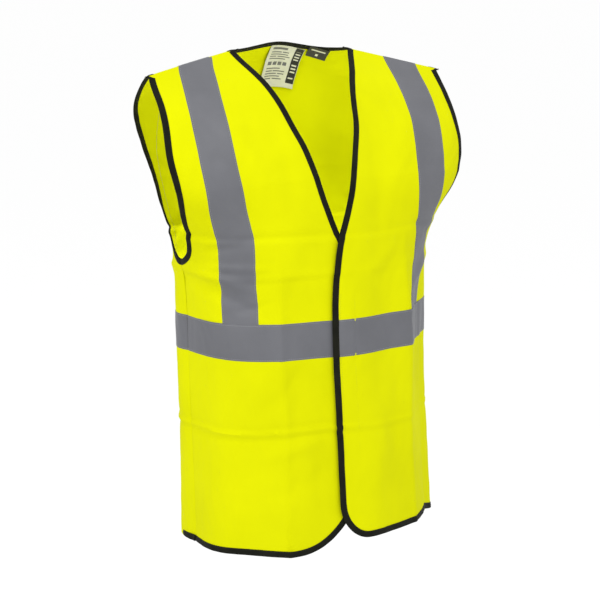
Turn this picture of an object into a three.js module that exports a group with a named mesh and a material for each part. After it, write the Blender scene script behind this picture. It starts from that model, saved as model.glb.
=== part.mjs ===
// High visibility vest, standing as it does on a wearer, closed at the front.
// Frame: millimetres, +Z up, the front faces -Y, +X is the wearer's left.
// Origin: midway between the two points where the shoulder seams meet the neckline.
import * as THREE from 'three';

// ---------------------------------------------------------------- driving dimensions
const HEM_DROP = 683;            // neck points down to the hem
const ARMHOLE_DROP = 281;        // neck points down to the underarm
const NECK_HALF = 91;            // centre line out to a neck point
const TAPE_WIDTH = 50;           // reflective tape
const BAND_TOP = 360;            // neck points down to the waist band's top edge
const BINDING_WIDTH = 8;         // edge binding, as seen from one side
// Bottom corners of the fronts: how far above the hem drop the front's own hem is, and
// the rounded corner's size across and up.
const CORNERS = {
  left: { rise: 18, width: 42, height: 50 },
  right: { rise: 2, width: 112, height: 138 },
};
const RISE_FADE = [THREE.MathUtils.degToRad(50), THREE.MathUtils.degToRad(82)];

// Ring sections of the vest, one per level: half width, depth to the front and
// to the back of the side line, where the side line lies, and how far the
// shoulder caps roll forward.
const LEVELS = [
  { drop: 0, front: 253, back: 253, toFront: 5, toBack: 46, side: 0, roll: 24, backRoll: 24 },
  { drop: 60, front: 250, back: 256, toFront: 53, toBack: 72, side: -12, roll: 32, backRoll: 4 },
  { drop: 120, front: 250, back: 246, toFront: 88, toBack: 90, side: -21, roll: 27, backRoll: 0 },
  { drop: 180, front: 231, back: 222, toFront: 102, toBack: 100, side: -29, roll: 26, backRoll: 0 },
  { drop: 235, front: 205, back: 198, toFront: 109, toBack: 106, side: -32, roll: 9, backRoll: 0 },
  { drop: 285, front: 188, back: 188, toFront: 118, toBack: 109, side: -33, roll: 0, backRoll: 0 },
  { drop: 400, front: 183, back: 183, toFront: 133, toBack: 114, side: -34, roll: 0, backRoll: 0 },
  { drop: 560, front: 185, back: 185, toFront: 138, toBack: 118, side: -43, roll: 0, backRoll: 0 },
  { drop: 683, front: 189, back: 189, toFront: 141, toBack: 120, side: -53, roll: 0, backRoll: 0 },
];
// Where the cloth hangs flatter or fuller than those rings: angle from the centre front
// in degrees, and the ring's size as a share, at the waist band and at the hem.
const FULLNESS = [
  [-180, 1, 1], [-125, 1, 1], [-100, 1.01, 0.99], [-90, 0.98, 0.965], [-75, 0.965, 0.945],
  [-60, 0.98, 0.945], [-45, 1.005, 0.942], [-30, 1, 0.975], [-15, 0.98, 1], [0, 1, 1],
  [15, 0.985, 1], [25, 0.975, 1], [34, 1, 0.985], [50, 0.93, 0.94], [65, 0.96, 0.94],
  [76, 1.035, 1.02], [90, 1.015, 1.01], [115, 1, 1], [180, 1, 1],
];
const FULLNESS_FROM = 200;       // drop above which the rings keep their full size
const FULLNESS_WAIST = 384;
const ROUNDNESS = 2.4;           // superellipse exponent of the ring sections
const RIDGE = 40;                // drop over which the shoulder ridge rounds over
const SLOPE = Math.tan(THREE.MathUtils.degToRad(13));
const SLOPE_SOFT = 25;           // softens the slope across the neck
const SLOPE_FADE = 250;          // drop at which the rings are level
const NAPE_RISE = 7;             // the back neckline stands up this far
const NAPE_FADE = 200;
const ROLL_AT = 225;             // half width at which the roll is full

// Neckline and front edge of the left front: distance from the centre line.
const FRONT_EDGE = [
  [0, NECK_HALF], [15, 83.5], [30, 75], [50, 64], [75, 54], [105, 45.5], [135, 34.7],
  [165, 25.8], [195, 17.5], [226, 6.5], [258, -5.5], [289, -13], [320, -18], [353, -20.7],
  [418, -23], [485, -22], [HEM_DROP, -21],
];
const NAPE_DROP = 12;            // depth of the back neckline's curve
const NAPE_CURVE = 2.5;          // exponent of that curve
// Armhole outline: angle around the ring from the centre front, and drop.
const ARMHOLE = [
  [57.6, 0], [61.3, 60], [62.2, 120], [66.3, 178], [71.3, 219], [74.5, 250], [81, 272],
  [90.5, ARMHOLE_DROP], [99, 272], [106, 250], [114, 217], [121, 187], [124.3, 153],
  [124.6, 115], [122, 72], [119.3, 32], [120.5, 0],
];
// Brace tapes of the fronts and of the back's two sides: drop, and distance of the tape's
// middle from the centre line.
const BRACE = {
  left: [
    [0, 171], [20, 171], [54, 170], [90, 168], [127, 164], [164, 162], [218, 163], [236, 162],
    [290, 152], [334, 138], [360, 132], [400, 128],
  ],
  right: [
    [0, 153], [15, 157], [45, 163], [77, 166], [110, 167], [145, 166], [197, 159], [232, 150],
    [249, 146], [282, 144], [356, 143], [400, 143],
  ],
  leftBack: [[0, 171], [60, 170], [130, 168], [235, 156], [300, 148], [400, 142]],
  rightBack: [[0, 153], [60, 160], [130, 166], [235, 156], [300, 148], [400, 142]],
};

// Layers, as distances out from the cloth surface.
const CLOTH = [0, 1.2];
const TAPE = [2.6, 3.4];
const BINDING = [-0.9, 2.1];
const LOOP = [3.7, 4.5];          // outside the right front, over the waist band
const HOOK = [-1.5, -0.5];       // inside the left front
const SEAM = [-2.8, -1.8];       // seam allowances inside
const GAP = 0.3;                 // between pieces that touch
const OVERLAP_LIFT = 7;          // the left front lies this far over the right one
const LIFT_FULL = 25;
const LIFT_END = 70;

// Lines along which the fronts fold open: distance from the centre line at two drops.
const FOLD = {
  left: { top: 200, topX: 23, bottomX: 140 },
  right: { top: 225, topX: 16, bottomX: 110 },
};
const HOOK_STRIP = { width: 25, from: 325, to: 545 };  // inside the left front
const LOOP_STRIP = { width: 16, from: 325, to: 545 };  // outside the right front
const CARE_LABEL = { width: 54, height: 66, x: 18, tilt: 9 };
const SIZE_LABEL = { width: 31, height: 23, x: 62, tilt: 0 };
const LABEL = [-3.8, -3.0];      // hangs inside the back
const SEAM_WIDTH = 10;

// ---------------------------------------------------------------- materials
const cloth = new THREE.MeshStandardMaterial({ color: '#e4e800', roughness: 0.85, metalness: 0 });
const tape = new THREE.MeshStandardMaterial({ color: '#797a80', roughness: 0.55, metalness: 0 });
const binding = new THREE.MeshStandardMaterial({ color: '#1e2014', roughness: 0.8, metalness: 0 });
const strip = new THREE.MeshStandardMaterial({ color: '#c9cc1a', roughness: 0.95, metalness: 0 });
const careLabel = new THREE.MeshStandardMaterial({ color: '#d8d9c8', roughness: 0.7, metalness: 0 });
const sizeLabel = new THREE.MeshStandardMaterial({ color: '#17171a', roughness: 0.7, metalness: 0 });

// ---------------------------------------------------------------- small maths
const clamp = (x, lo, hi) => Math.min(hi, Math.max(lo, x));
const lerp = (a, b, t) => a + (b - a) * t;

function smooth(from, to, x) {
  const t = clamp((x - from) / (to - from), 0, 1);
  return t * t * (3 - 2 * t);
}

// A smooth curve through points [[x, y], ...], by cubic Hermite pieces.
function through(points) {
  const count = points.length;
  const slope = (i, j) => (points[j][1] - points[i][1]) / (points[j][0] - points[i][0]);
  const tangents = points.map((point, i) => slope(Math.max(i - 1, 0), Math.min(i + 1, count - 1)));
  return (x) => {
    let i = 0;
    while (i < count - 2 && x > points[i + 1][0]) i += 1;
    const width = points[i + 1][0] - points[i][0];
    const t = clamp((x - points[i][0]) / width, 0, 1);
    const t2 = t * t;
    const t3 = t2 * t;
    return (2 * t3 - 3 * t2 + 1) * points[i][1] + (t3 - 2 * t2 + t) * width * tangents[i]
      + (3 * t2 - 2 * t3) * points[i + 1][1] + (t3 - t2) * width * tangents[i + 1];
  };
}

const level = (key) => through(LEVELS.map((ring) => [ring.drop, ring[key]]));
const ring = Object.fromEntries(Object.keys(LEVELS[0]).map((key) => [key, level(key)]));
const frontEdge = through(FRONT_EDGE);
const brace = Object.fromEntries(Object.entries(BRACE).map(([key, line]) => [key, through(line)]));
const waistFullness = through(FULLNESS.map(([angle, share]) => [angle, share]));
const hemFullness = through(FULLNESS.map(([angle, , share]) => [angle, share]));

// ---------------------------------------------------------------- the vest's surface
// The right side is worked out as if it were the left, with mirror at -1.
let mirror = 1;

// The share of its size that a ring keeps at an angle.
function fullness(angle, drop) {
  const degrees = THREE.MathUtils.radToDeg(mirror * angle);
  const waist = waistFullness(degrees);
  if (drop < FULLNESS_WAIST) return lerp(1, waist, smooth(FULLNESS_FROM, FULLNESS_WAIST, drop));
  return lerp(waist, hemFullness(degrees), smooth(FULLNESS_WAIST, HEM_DROP, drop));
}

// A place on the surface is an angle around the ring (0 at the centre front, positive
// to the wearer's left, pi at the centre back) and a drop below the neck points.
function place(angle, drop) {
  const sin = Math.sin(angle);
  const cos = Math.cos(angle);
  const circle = (Math.abs(sin) ** ROUNDNESS + Math.abs(cos) ** ROUNDNESS) ** (-1 / ROUNDNESS);
  const scale = circle * fullness(angle, drop);
  const isFront = cos >= 0;
  const round = Math.sqrt(1 - (1 - clamp(drop / RIDGE, 0, 1)) ** 2);
  const x = scale * sin * (isFront ? ring.front(drop) : ring.back(drop));
  const depth = scale * cos * round * (isFront ? ring.toFront(drop) : ring.toBack(drop));
  const roll = (isFront ? ring.roll(drop) : ring.backRoll(drop)) * (x / ROLL_AT) ** 2;
  const fall = Math.hypot(x, SLOPE_SOFT) - Math.hypot(NECK_HALF, SLOPE_SOFT);
  const nape = isFront ? 0 : NAPE_RISE * round * (1 - smooth(0, NECK_HALF + 20, Math.abs(x)));
  return new THREE.Vector3(
    x,
    ring.side(drop) - depth - roll,
    -drop - SLOPE * fall * (1 - smooth(0, SLOPE_FADE, drop)) + nape * (1 - smooth(20, NAPE_FADE, drop)),
  );
}

// The drop as a function of the way down: even steps around the ridge, then even drops.
const dropAt = (way) => (way < 1 ? RIDGE * (1 - Math.cos(way * Math.PI / 2)) : RIDGE * way);
const wayAt = (drop) => (drop < RIDGE ? Math.acos(1 - drop / RIDGE) / (Math.PI / 2) : drop / RIDGE);

// The ring angle at which the front or the back surface is x from the centre line.
const ANGLE_ROUNDS = 8;
function angleAt(x, drop, isBack = false) {
  const half = isBack ? ring.back(drop) : ring.front(drop);
  let angle = isBack ? Math.PI : 0;
  for (let i = 0; i < ANGLE_ROUNDS; i += 1) {
    const across = clamp(Math.abs(x) / half / fullness(angle, drop), 0, 1);
    const along = (1 - across ** ROUNDNESS) ** (1 / ROUNDNESS);
    angle = Math.sign(x || 1) * Math.atan2(across, isBack ? -along : along);
  }
  return angle;
}

// Point, outward normal and the surface's two derivatives at a place.
const STEP_ANGLE = 0.002;
const STEP_WAY = 0.004;
function surface(angle, drop, lifted = false) {
  const way = wayAt(drop);
  const point = place(angle, drop);
  const isFront = Math.cos(angle) >= 0;
  const turn = (Math.cos(angle + STEP_ANGLE) >= 0) === isFront ? STEP_ANGLE : -STEP_ANGLE;
  const ahead = place(angle + turn, drop);
  const below = place(angle, dropAt(way + STEP_WAY));
  const around = ahead.sub(point).divideScalar(turn);
  const down = below.sub(point).divideScalar(STEP_WAY);
  const normal = new THREE.Vector3().crossVectors(down, around).normalize();
  const lift = lifted && isFront ? OVERLAP_LIFT * (1 - smooth(LIFT_FULL, LIFT_END, point.x)) : 0;
  return { point: point.addScaledVector(normal, lift), normal, around, down };
}

// The place reached from another by a small step along the surface.
function stepped([angle, drop], step) {
  const { around, down } = surface(angle, drop);
  const [aa, ad, dd] = [around.dot(around), around.dot(down), down.dot(down)];
  const [as, ds] = [around.dot(step), down.dot(step)];
  const det = aa * dd - ad * ad;
  const way = wayAt(drop) + (aa * ds - ad * as) / det;
  return [angle + (dd * as - ad * ds) / det, dropAt(Math.max(way, 0))];
}

// The place a distance along the ring from another, walked in short steps.
const WALK_STEP = 3;
function walked(spot, distance) {
  const count = Math.ceil(Math.abs(distance) / WALK_STEP);
  let here = spot;
  for (let i = 0; i < count; i += 1) {
    const { around } = surface(...here);
    here = [here[0] + distance / count / around.length(), here[1]];
  }
  return here;
}

// ---------------------------------------------------------------- closed solids
// Signed volume decides whether the faces have to be turned over.
function facingOut(positions, index) {
  const geometry = new THREE.BufferGeometry();
  geometry.setAttribute('position', new THREE.Float32BufferAttribute(positions, 3));
  const corner = [0, 1, 2].map(() => new THREE.Vector3());
  let volume = 0;
  for (let i = 0; i < index.length; i += 3) {
    corner.forEach((vector, k) => vector.fromArray(positions, 3 * index[i + k]));
    volume += corner[0].dot(new THREE.Vector3().crossVectors(corner[1], corner[2]));
  }
  if (volume < 0) {
    for (let i = 0; i < index.length; i += 3) [index[i], index[i + 1]] = [index[i + 1], index[i]];
  }
  geometry.setIndex(index);
  geometry.computeVertexNormals();
  return geometry;
}

// A sheet between two offsets of a grid of surface points, closed around its rim.
function sheetGeometry(grid, offsets) {
  const rows = grid.length;
  const columns = grid[0].length;
  const positions = offsets.flatMap((offset) => grid.flat().flatMap(
    ({ point, normal }) => point.clone().addScaledVector(normal, offset).toArray(),
  ));
  const layer = rows * columns;
  const index = [];
  const quad = (a, b, c, d) => index.push(a, b, c, a, c, d);
  for (let i = 0; i < rows - 1; i += 1) {
    for (let j = 0; j < columns - 1; j += 1) {
      const a = i * columns + j;
      quad(a, a + 1, a + columns + 1, a + columns);
      quad(layer + a, layer + a + columns, layer + a + columns + 1, layer + a + 1);
    }
  }
  const rim = [];
  for (let j = 0; j < columns - 1; j += 1) rim.push(j);
  for (let i = 0; i < rows - 1; i += 1) rim.push(i * columns + columns - 1);
  for (let j = columns - 1; j > 0; j -= 1) rim.push((rows - 1) * columns + j);
  for (let i = rows - 1; i > 0; i -= 1) rim.push(i * columns);
  rim.forEach((a, i) => {
    const b = rim[(i + 1) % rim.length];
    quad(b, a, layer + a, layer + b);
  });
  return facingOut(positions, index);
}

// The same for a band that runs round and meets itself: no rim at its ends.
function ringGeometry(grid, offsets) {
  const offsetRow = (row, offset) => row.map(
    ({ point, normal }) => point.clone().addScaledVector(normal, offset),
  );
  const sections = grid.map(
    (row) => [...offsetRow(row, offsets[0]), ...offsetRow(row, offsets[1]).reverse()],
  );
  const size = sections[0].length;
  const positions = sections.flat().flatMap((point) => point.toArray());
  const index = [];
  sections.forEach((section, i) => {
    const next = (i + 1) % sections.length;
    for (let k = 0; k < size; k += 1) {
      const other = (k + 1) % size;
      const [a, b, c, d] = [i * size + k, i * size + other, next * size + other, next * size + k];
      index.push(a, b, c, a, c, d);
    }
  });
  return facingOut(positions, index);
}

// ---------------------------------------------------------------- outlines
// Each is worked out for the wearer's left side and mirrored for the right.
const range = (from, to, count) => Array.from({ length: count + 1 }, (_, i) => lerp(from, to, i / count));
// Drops from the shoulder line down: short steps over the rounded ridge, longer ones below.
const CROWDING = 1.6;
const dropPart = (from, to, part) => dropAt(lerp(wayAt(from), wayAt(to), part ** CROWDING));
const dropsBetween = (from, to, count) => range(0, 1, count).map((part) => dropPart(from, to, part));

// A path is a list of places; at(path, 2.5) is halfway between the third and the fourth.
function at(path, position) {
  const i = clamp(Math.floor(position), 0, path.length - 2);
  return [0, 1].map((k) => lerp(path[i][k], path[i + 1][k], position - i));
}

// The first position at which a measure of the places turns from negative to positive.
function turning(path, measure, from = 0) {
  for (let i = from; i < path.length - 1; i += 1) {
    const [a, b] = [measure(path[i]), measure(path[i + 1])];
    if (a < 0 && b >= 0) return i + a / (a - b);
  }
  throw new Error('the measure does not turn');
}

// The direction square to a path, along the surface, at a position: to the side of the cloth.
function inward(path, position, closed = false) {
  const last = path.length - 1;
  const wrap = (index) => (closed ? (index + last) % last : clamp(index, 0, last));
  const before = surface(...at(path, wrap(position - 0.5))).point;
  const after = surface(...at(path, wrap(position + 0.5))).point;
  const { normal } = surface(...at(path, position));
  return new THREE.Vector3().crossVectors(normal, after.sub(before)).normalize();
}

const insetPath = (path, distance) => path.map(
  (spot, i) => stepped(spot, inward(path, i).multiplyScalar(distance)),
);

const xOf = ([angle, drop]) => place(angle, drop).x;
const SHOULDER_DROP = dropAt(0.0025);                 // half a gap down from the ridge
const edgeSpot = (drop) => [angleAt(frontEdge(drop), drop), drop];

// Neckline and front edge, then the rounded corner, then the front hem to the side seam.
const EDGE_COUNT = 64;
const CORNER_COUNT = 10;
const HEM_COUNT = 24;
function frontOutline({ rise, width, height }) {
  const low = HEM_DROP - rise;
  const top = low - height;
  const edge = dropsBetween(SHOULDER_DROP, top, EDGE_COUNT).map(edgeSpot);
  const corner = range(0, Math.PI / 2, CORNER_COUNT).slice(1).map((turn) => {
    const drop = top + height * Math.sin(turn);
    const x = frontEdge(low) + width * (1 - Math.cos(turn));
    return [angleAt(x, drop), drop];
  });
  const hem = range(corner.at(-1)[0], Math.PI / 2, HEM_COUNT).slice(1).map(
    (angle) => [angle, HEM_DROP - rise * (1 - smooth(...RISE_FADE, angle))],
  );
  return [...edge, ...corner, ...hem];
}

const EDGE_CLEARANCE = 1.2;       // the facets' slack between cloth and binding
const INSET = BINDING_WIDTH + EDGE_CLEARANCE;
const side = { left: 1, right: -1 };
function workOn(which) {
  mirror = side[which];
}

// A front's outline, and the outline of its cloth inside the binding.
function frontShape(which) {
  workOn(which);
  const path = frontOutline(CORNERS[which]);
  const inset = insetPath(path, INSET);
  return { path, edge: inset.slice(0, EDGE_COUNT + 1), hem: inset.slice(EDGE_COUNT) };
}
const FRONTS = { right: frontShape('right'), left: frontShape('left') };
const hemInset = stepped([Math.PI, HEM_DROP], new THREE.Vector3(0, 0, INSET))[1];

// Back neckline from the neck point to the centre back.
const napePath = range(1, 0, 12).map((part) => {
  const drop = SHOULDER_DROP + NAPE_DROP * (1 - part ** NAPE_CURVE);
  return [angleAt(NECK_HALF * part, drop, true), drop];
});
const napeInset = insetPath(napePath, -INSET);

// Armhole: down the front edge from the shoulder, round the underarm, up the back edge.
const armholeCurve = new THREE.CatmullRomCurve3(
  ARMHOLE.map(([degrees, drop]) => new THREE.Vector3(THREE.MathUtils.degToRad(degrees), wayAt(drop), 0)),
  false,
  'centripetal',
);
const armholeSpot = (point) => [point.x, Math.max(dropAt(point.y), SHOULDER_DROP)];
const ARMHOLE_COUNT = 60;
const armholePath = armholeCurve.getPoints(ARMHOLE_COUNT).map(armholeSpot);
const armholeInset = insetPath(armholePath, -INSET);
const underarm = armholeInset.reduce((best, spot, i) => (spot[1] > armholeInset[best][1] ? i : best), 0);
const frontArmhole = armholeInset.slice(0, underarm + 1);
const backArmhole = armholeInset.slice(underarm).reverse();

const TINY = 1e-9;

// The angle of a descending outline at a drop.
function angleOn(outline, drop) {
  const last = outline.length - 1;
  if (drop <= outline[0][1]) return outline[0][0];
  if (drop >= outline[last][1]) return outline[last][0];
  return at(outline, turning(outline, (spot) => spot[1] - drop + TINY))[0];
}

const SIDE = Math.PI / 2;
const SIDE_GAP = 2 * GAP / LEVELS.at(-1).toFront;   // as an angle
const frontOuter = (drop) => (drop > frontArmhole.at(-1)[1] ? SIDE - SIDE_GAP
  : Math.min(angleOn(frontArmhole, drop), SIDE - SIDE_GAP));
const backOuter = (drop) => (drop > backArmhole.at(-1)[1] ? SIDE + SIDE_GAP
  : Math.max(angleOn(backArmhole, drop), SIDE + SIDE_GAP));

// Angle of a front's edge at a drop, and drop of its hem at an angle.
const innerOf = (which) => (drop) => angleOn(FRONTS[which].edge, drop);
const hemOf = (which) => (angle) => {
  const outline = FRONTS[which].hem;
  const last = outline.length - 1;
  if (angle <= outline[0][0]) return outline[0][1];
  if (angle >= outline[last][0]) return outline[last][1];
  return at(outline, turning(outline, (spot) => spot[0] - angle + TINY))[1];
};

// Fold line of a front, and the gap that parts the cloth along it.
function foldX(fold, drop) {
  return lerp(fold.topX, fold.bottomX, (drop - fold.top) / (HEM_DROP - fold.top));
}
const foldAngle = (fold, drop, shift) => angleAt(foldX(fold, drop) + shift, drop);

// ---------------------------------------------------------------- pieces
const vest = new THREE.Group();

function add(name, geometry, material) {
  const mesh = new THREE.Mesh(geometry, material);
  mesh.name = name;
  vest.add(mesh);
}

// Surface point of a place of the side being worked on, where it really is.
function seen([angle, drop]) {
  const { point, normal } = surface(angle, drop, mirror > 0);
  point.x *= mirror;
  normal.x *= mirror;
  return { point, normal };
}
const seenGrid = (grid) => grid.map((row) => row.map(seen));

// Row positions of a cloth panel, with more rows around the underarm.
const UNDERARM_ROWS = [-24, -12, -4, 2, 6, 8, INSET + 0.6];
const ROW_SPACING = 0.01;
function panelRows(top, bottom, count) {
  const partOf = (drop) => ((wayAt(drop) - wayAt(top)) / (wayAt(bottom) - wayAt(top))) ** (1 / CROWDING);
  const extra = UNDERARM_ROWS.map((offset) => partOf(ARMHOLE_DROP + offset));
  const isFree = (part) => extra.every((other) => Math.abs(other - part) > ROW_SPACING);
  const even = range(0, 1, count).filter(isFree);
  return [...even, ...extra].sort((a, b) => a - b);
}

// A patch whose rows run from inner(drop) to outer(drop); its lower edge may vary.
const EDGE_ROUNDS = 30;
function patch({ inner, outer, top, bottom, rows, columns }, offsets) {
  const parts = Array.isArray(rows) ? rows : range(0, 1, rows);
  const grid = parts.map((down) => range(0, 1, columns).map((across) => {
    let low = bottom(inner(HEM_DROP));
    for (let i = 0; i < EDGE_ROUNDS; i += 1) low = bottom(lerp(inner(low), outer(low), across));
    const drop = dropPart(top, low, down);
    return [lerp(inner(drop), outer(drop), across), drop];
  }));
  return sheetGeometry(seenGrid(grid), offsets);
}

// A binding along a path: from(distance) and to(distance) are its ends' positions on
// the path at a distance in from the edge, so that its ends can be cut at a slant.
function bindingGeometry(path, from, to, count) {
  const grid = range(0, 1, count).map((part) => [0, BINDING_WIDTH].map((distance) => {
    const position = lerp(from(distance), to(distance), part);
    const shift = inward(path, position).multiplyScalar(distance);
    return stepped(at(path, position), shift);
  }));
  return sheetGeometry(seenGrid(grid), BINDING);
}

// The back panel is one piece of cloth from armhole to armhole.
function backPanel() {
  const spread = Math.PI - backOuter(SHOULDER_DROP);
  const neckPart = (Math.PI - napeInset[0][0]) / spread;
  const underNeck = range(0, 1, 8).map((part) => neckPart * (1 - part ** CROWDING));
  const half = [...underNeck, ...range(1, neckPart + ROW_SPACING, 6)].sort((a, b) => a - b);
  const columns = [...half.slice(1).reverse().map((part) => -part), ...half];
  const grid = panelRows(SHOULDER_DROP, hemInset, 30).map((down) => columns.map((across) => {
    const part = Math.abs(across);
    const top = part > neckPart ? SHOULDER_DROP : napeTop(Math.PI - part * spread);
    const drop = dropPart(top, hemInset, down);
    const angle = lerp(Math.PI, backOuter(drop), part);
    return surface(across < 0 ? -angle : angle, drop);
  }));
  add('back_panel', sheetGeometry(grid, CLOTH), cloth);
}

// Where the back panel's cloth starts below the shoulder line or the neckline.
function napeTop(angle) {
  if (angle <= napeInset[0][0]) return napeInset[0][1];
  const position = turning(napeInset, (spot) => spot[0] - angle + TINY);
  return Math.max(at(napeInset, position)[1], SHOULDER_DROP);
}

// The flap's first row is this far across, so that it starts with an edge, not a point.
const FLAP_START = 3;
function frontCloth(which) {
  const fold = FOLD[which];
  const { edge } = FRONTS[which];
  const inner = innerOf(which);
  const bottom = hemOf(which);
  add(`${which}_front_panel`, patch({
    inner: (drop) => Math.max(inner(drop), foldAngle(fold, drop, GAP / 2)),
    outer: frontOuter,
    top: SHOULDER_DROP,
    bottom,
    rows: panelRows(SHOULDER_DROP, HEM_DROP - INSET, 30),
    columns: 12,
  }, CLOTH), cloth);
  add(`${which}_front_flap`, patch({
    inner,
    outer: (drop) => foldAngle(fold, drop, -GAP / 2),
    top: at(edge, turning(edge, (spot) => foldX(fold, spot[1]) - FLAP_START - xOf(spot)))[1],
    bottom,
    rows: 20,
    columns: 8,
  }, CLOTH), cloth);
}

function frontBindings(which) {
  const fold = FOLD[which];
  const { path } = FRONTS[which];
  const edgeFold = (shift) => (distance) => turning(
    path,
    (spot) => foldX(fold, spot[1]) - shift - xOf(spot) - distance,
  );
  const hemFold = (shift) => (distance) => turning(
    path,
    (spot) => xOf(spot) + shift - foldX(fold, spot[1] - distance),
    EDGE_COUNT + CORNER_COUNT / 2,
  );
  const start = () => 0;
  const end = () => path.length - 1 - ROW_SPACING;
  const half = GAP / 2;
  add(`${which}_neck_binding`, bindingGeometry(path, start, edgeFold(-half), 18), binding);
  add(`${which}_front_edge_binding`, bindingGeometry(path, edgeFold(half), hemFold(half), 48), binding);
  add(`${which}_hem_binding`, bindingGeometry(path, hemFold(-half), end, 12), binding);
}

function frontBands(which) {
  const fold = FOLD[which];
  const inner = innerOf(which);
  const drops = { top: BAND_TOP, bottom: () => BAND_TOP + TAPE_WIDTH, rows: 2 };
  add(`${which}_front_band`, patch({
    ...drops, inner, outer: (drop) => foldAngle(fold, drop, -GAP / 2), columns: 5,
  }, TAPE), tape);
  add(`${which}_side_band`, patch({
    ...drops, inner: (drop) => foldAngle(fold, drop, GAP / 2), outer: () => SIDE - SIDE_GAP, columns: 12,
  }, TAPE), tape);
}

// The surface at an angle given from 0 all the way round to 2 pi.
function surfaceRound([angle, drop]) {
  return surface(angle > Math.PI ? angle - 2 * Math.PI : angle, drop);
}

function backBand() {
  const drops = range(BAND_TOP, BAND_TOP + TAPE_WIDTH, 2);
  const angles = range(SIDE + SIDE_GAP, 2 * Math.PI - SIDE - SIDE_GAP, 28);
  const grid = drops.map((drop) => angles.map((angle) => surfaceRound([angle, drop])));
  add('back_band', sheetGeometry(grid, TAPE), tape);
}

function braceTape(which, isBack) {
  const drops = dropsBetween(SHOULDER_DROP, BAND_TOP - GAP, 22);
  const distances = range(-TAPE_WIDTH / 2, TAPE_WIDTH / 2, 4);
  const middle = brace[isBack ? `${which}Back` : which];
  const grid = drops.map((drop) => distances.map((distance) => (
    walked([angleAt(middle(drop), drop, isBack), drop], distance)
  )));
  const name = `${which}_${isBack ? 'back' : 'front'}_brace_tape`;
  add(name, sheetGeometry(seenGrid(grid), TAPE), tape);
}

// The armhole binding runs once around, over the shoulder too.
function armholeBinding(which) {
  const count = armholePath.length - 1;
  const grid = range(0, count, count).slice(0, -1).map((position) => [0, BINDING_WIDTH].map((distance) => {
    const shift = inward(armholePath, position).multiplyScalar(-distance);
    return seen(stepped(at(armholePath, position), shift));
  }));
  add(`${which}_armhole_binding`, ringGeometry(grid, BINDING), binding);
}

function backBindings() {
  const otherHalf = napePath.slice(0, -1).reverse();
  const nape = [...napePath, ...otherHalf.map(([angle, drop]) => [2 * Math.PI - angle, drop])];
  const rows = (path, sign) => path.map((spot, i) => [0, BINDING_WIDTH].map(
    (distance) => surfaceRound(stepped(spot, inward(path, i).multiplyScalar(sign * distance))),
  ));
  add('back_neck_binding', sheetGeometry(rows(nape, -1), BINDING), binding);
  const hem = range(SIDE + SIDE_GAP, 2 * Math.PI - SIDE - SIDE_GAP, 30).map((angle) => [angle, HEM_DROP]);
  add('back_hem_binding', sheetGeometry(rows(hem, 1), BINDING), binding);
}

// Hook strip inside the left front's edge, loop strip outside the right front's edge.
const STRIP_SETBACK = BINDING_WIDTH + 2;
function closureStrip(name, size, offsets) {
  const grid = range(size.from, size.to, 12).map((drop) => {
    const from = frontEdge(drop) + STRIP_SETBACK;
    return range(from, from + size.width, 2).map((x) => [angleAt(x, drop), drop]);
  });
  add(name, sheetGeometry(seenGrid(grid), offsets), strip);
}

// A label hangs inside the back from the neck binding's lower edge.
function label(name, size, material) {
  const top = angleAt(size.x, NAPE_DROP, true);
  const shear = Math.tan(THREE.MathUtils.degToRad(size.tilt));
  let spot = [top, napeTop(top)];
  const rows = 6;
  const grid = range(0, size.height, rows).map((fallen, i) => {
    if (i > 0) {
      const { down } = surface(...spot);
      spot = stepped(spot, down.normalize().multiplyScalar(size.height / rows));
    }
    const middle = size.x - shear * fallen;
    return range(middle - size.width / 2, middle + size.width / 2, 4).map((x) => {
      const angle = angleAt(x, spot[1], true);
      return surface(angle, spot[1]);
    });
  });
  add(name, sheetGeometry(grid, LABEL), material);
}

// Seam allowances inside, along the shoulder and down the side.
const SEAM_INSET = 14;           // from the bindings at the seam's ends
const SHOULDER_ALLOWANCE = dropAt(1 / 6);
function seams(which) {
  const fromRidge = dropsBetween(SHOULDER_DROP, SHOULDER_ALLOWANCE, 2);
  const xs = range(NECK_HALF + SEAM_INSET, xOf(armholePath[0]) - SEAM_INSET, 6);
  const shoulder = fromRidge.map((drop) => xs.map((x) => [angleAt(x, drop, true), drop]));
  add(`${which}_shoulder_seam`, sheetGeometry(seenGrid(shoulder), SEAM), cloth);
  const drops = range(ARMHOLE_DROP + SEAM_INSET, HEM_DROP - SEAM_INSET, 14);
  const seam = drops.map((drop) => [1, SEAM_WIDTH].map(
    (distance) => walked([SIDE + SIDE_GAP, drop], distance),
  ));
  add(`${which}_side_seam`, sheetGeometry(seenGrid(seam), SEAM), cloth);
}

workOn('left');
backPanel();
backBand();
backBindings();
label('care_label', CARE_LABEL, careLabel);
label('size_label', SIZE_LABEL, sizeLabel);
for (const which of ['right', 'left']) {
  workOn(which);
  frontCloth(which);
  frontBindings(which);
  frontBands(which);
  braceTape(which, false);
  braceTape(which, true);
  armholeBinding(which);
  seams(which);
}
workOn('left');
closureStrip('hook_strip', HOOK_STRIP, HOOK);
workOn('right');
closureStrip('loop_strip', LOOP_STRIP, LOOP);

export default vest;
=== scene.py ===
"""High visibility vest: the visual model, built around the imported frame.

Lengths are millimetres until a mesh is made. +Z is up, the front faces -Y and +X is the
wearer's left. A spot on the vest is an angle around the ring (0 at the centre front,
positive to the wearer's left, pi at the centre back) and a way down: 0 on the shoulder
ridge, 1 where the ridge has rounded over, then one for every RIDGE millimetres.
"""
import math

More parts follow.
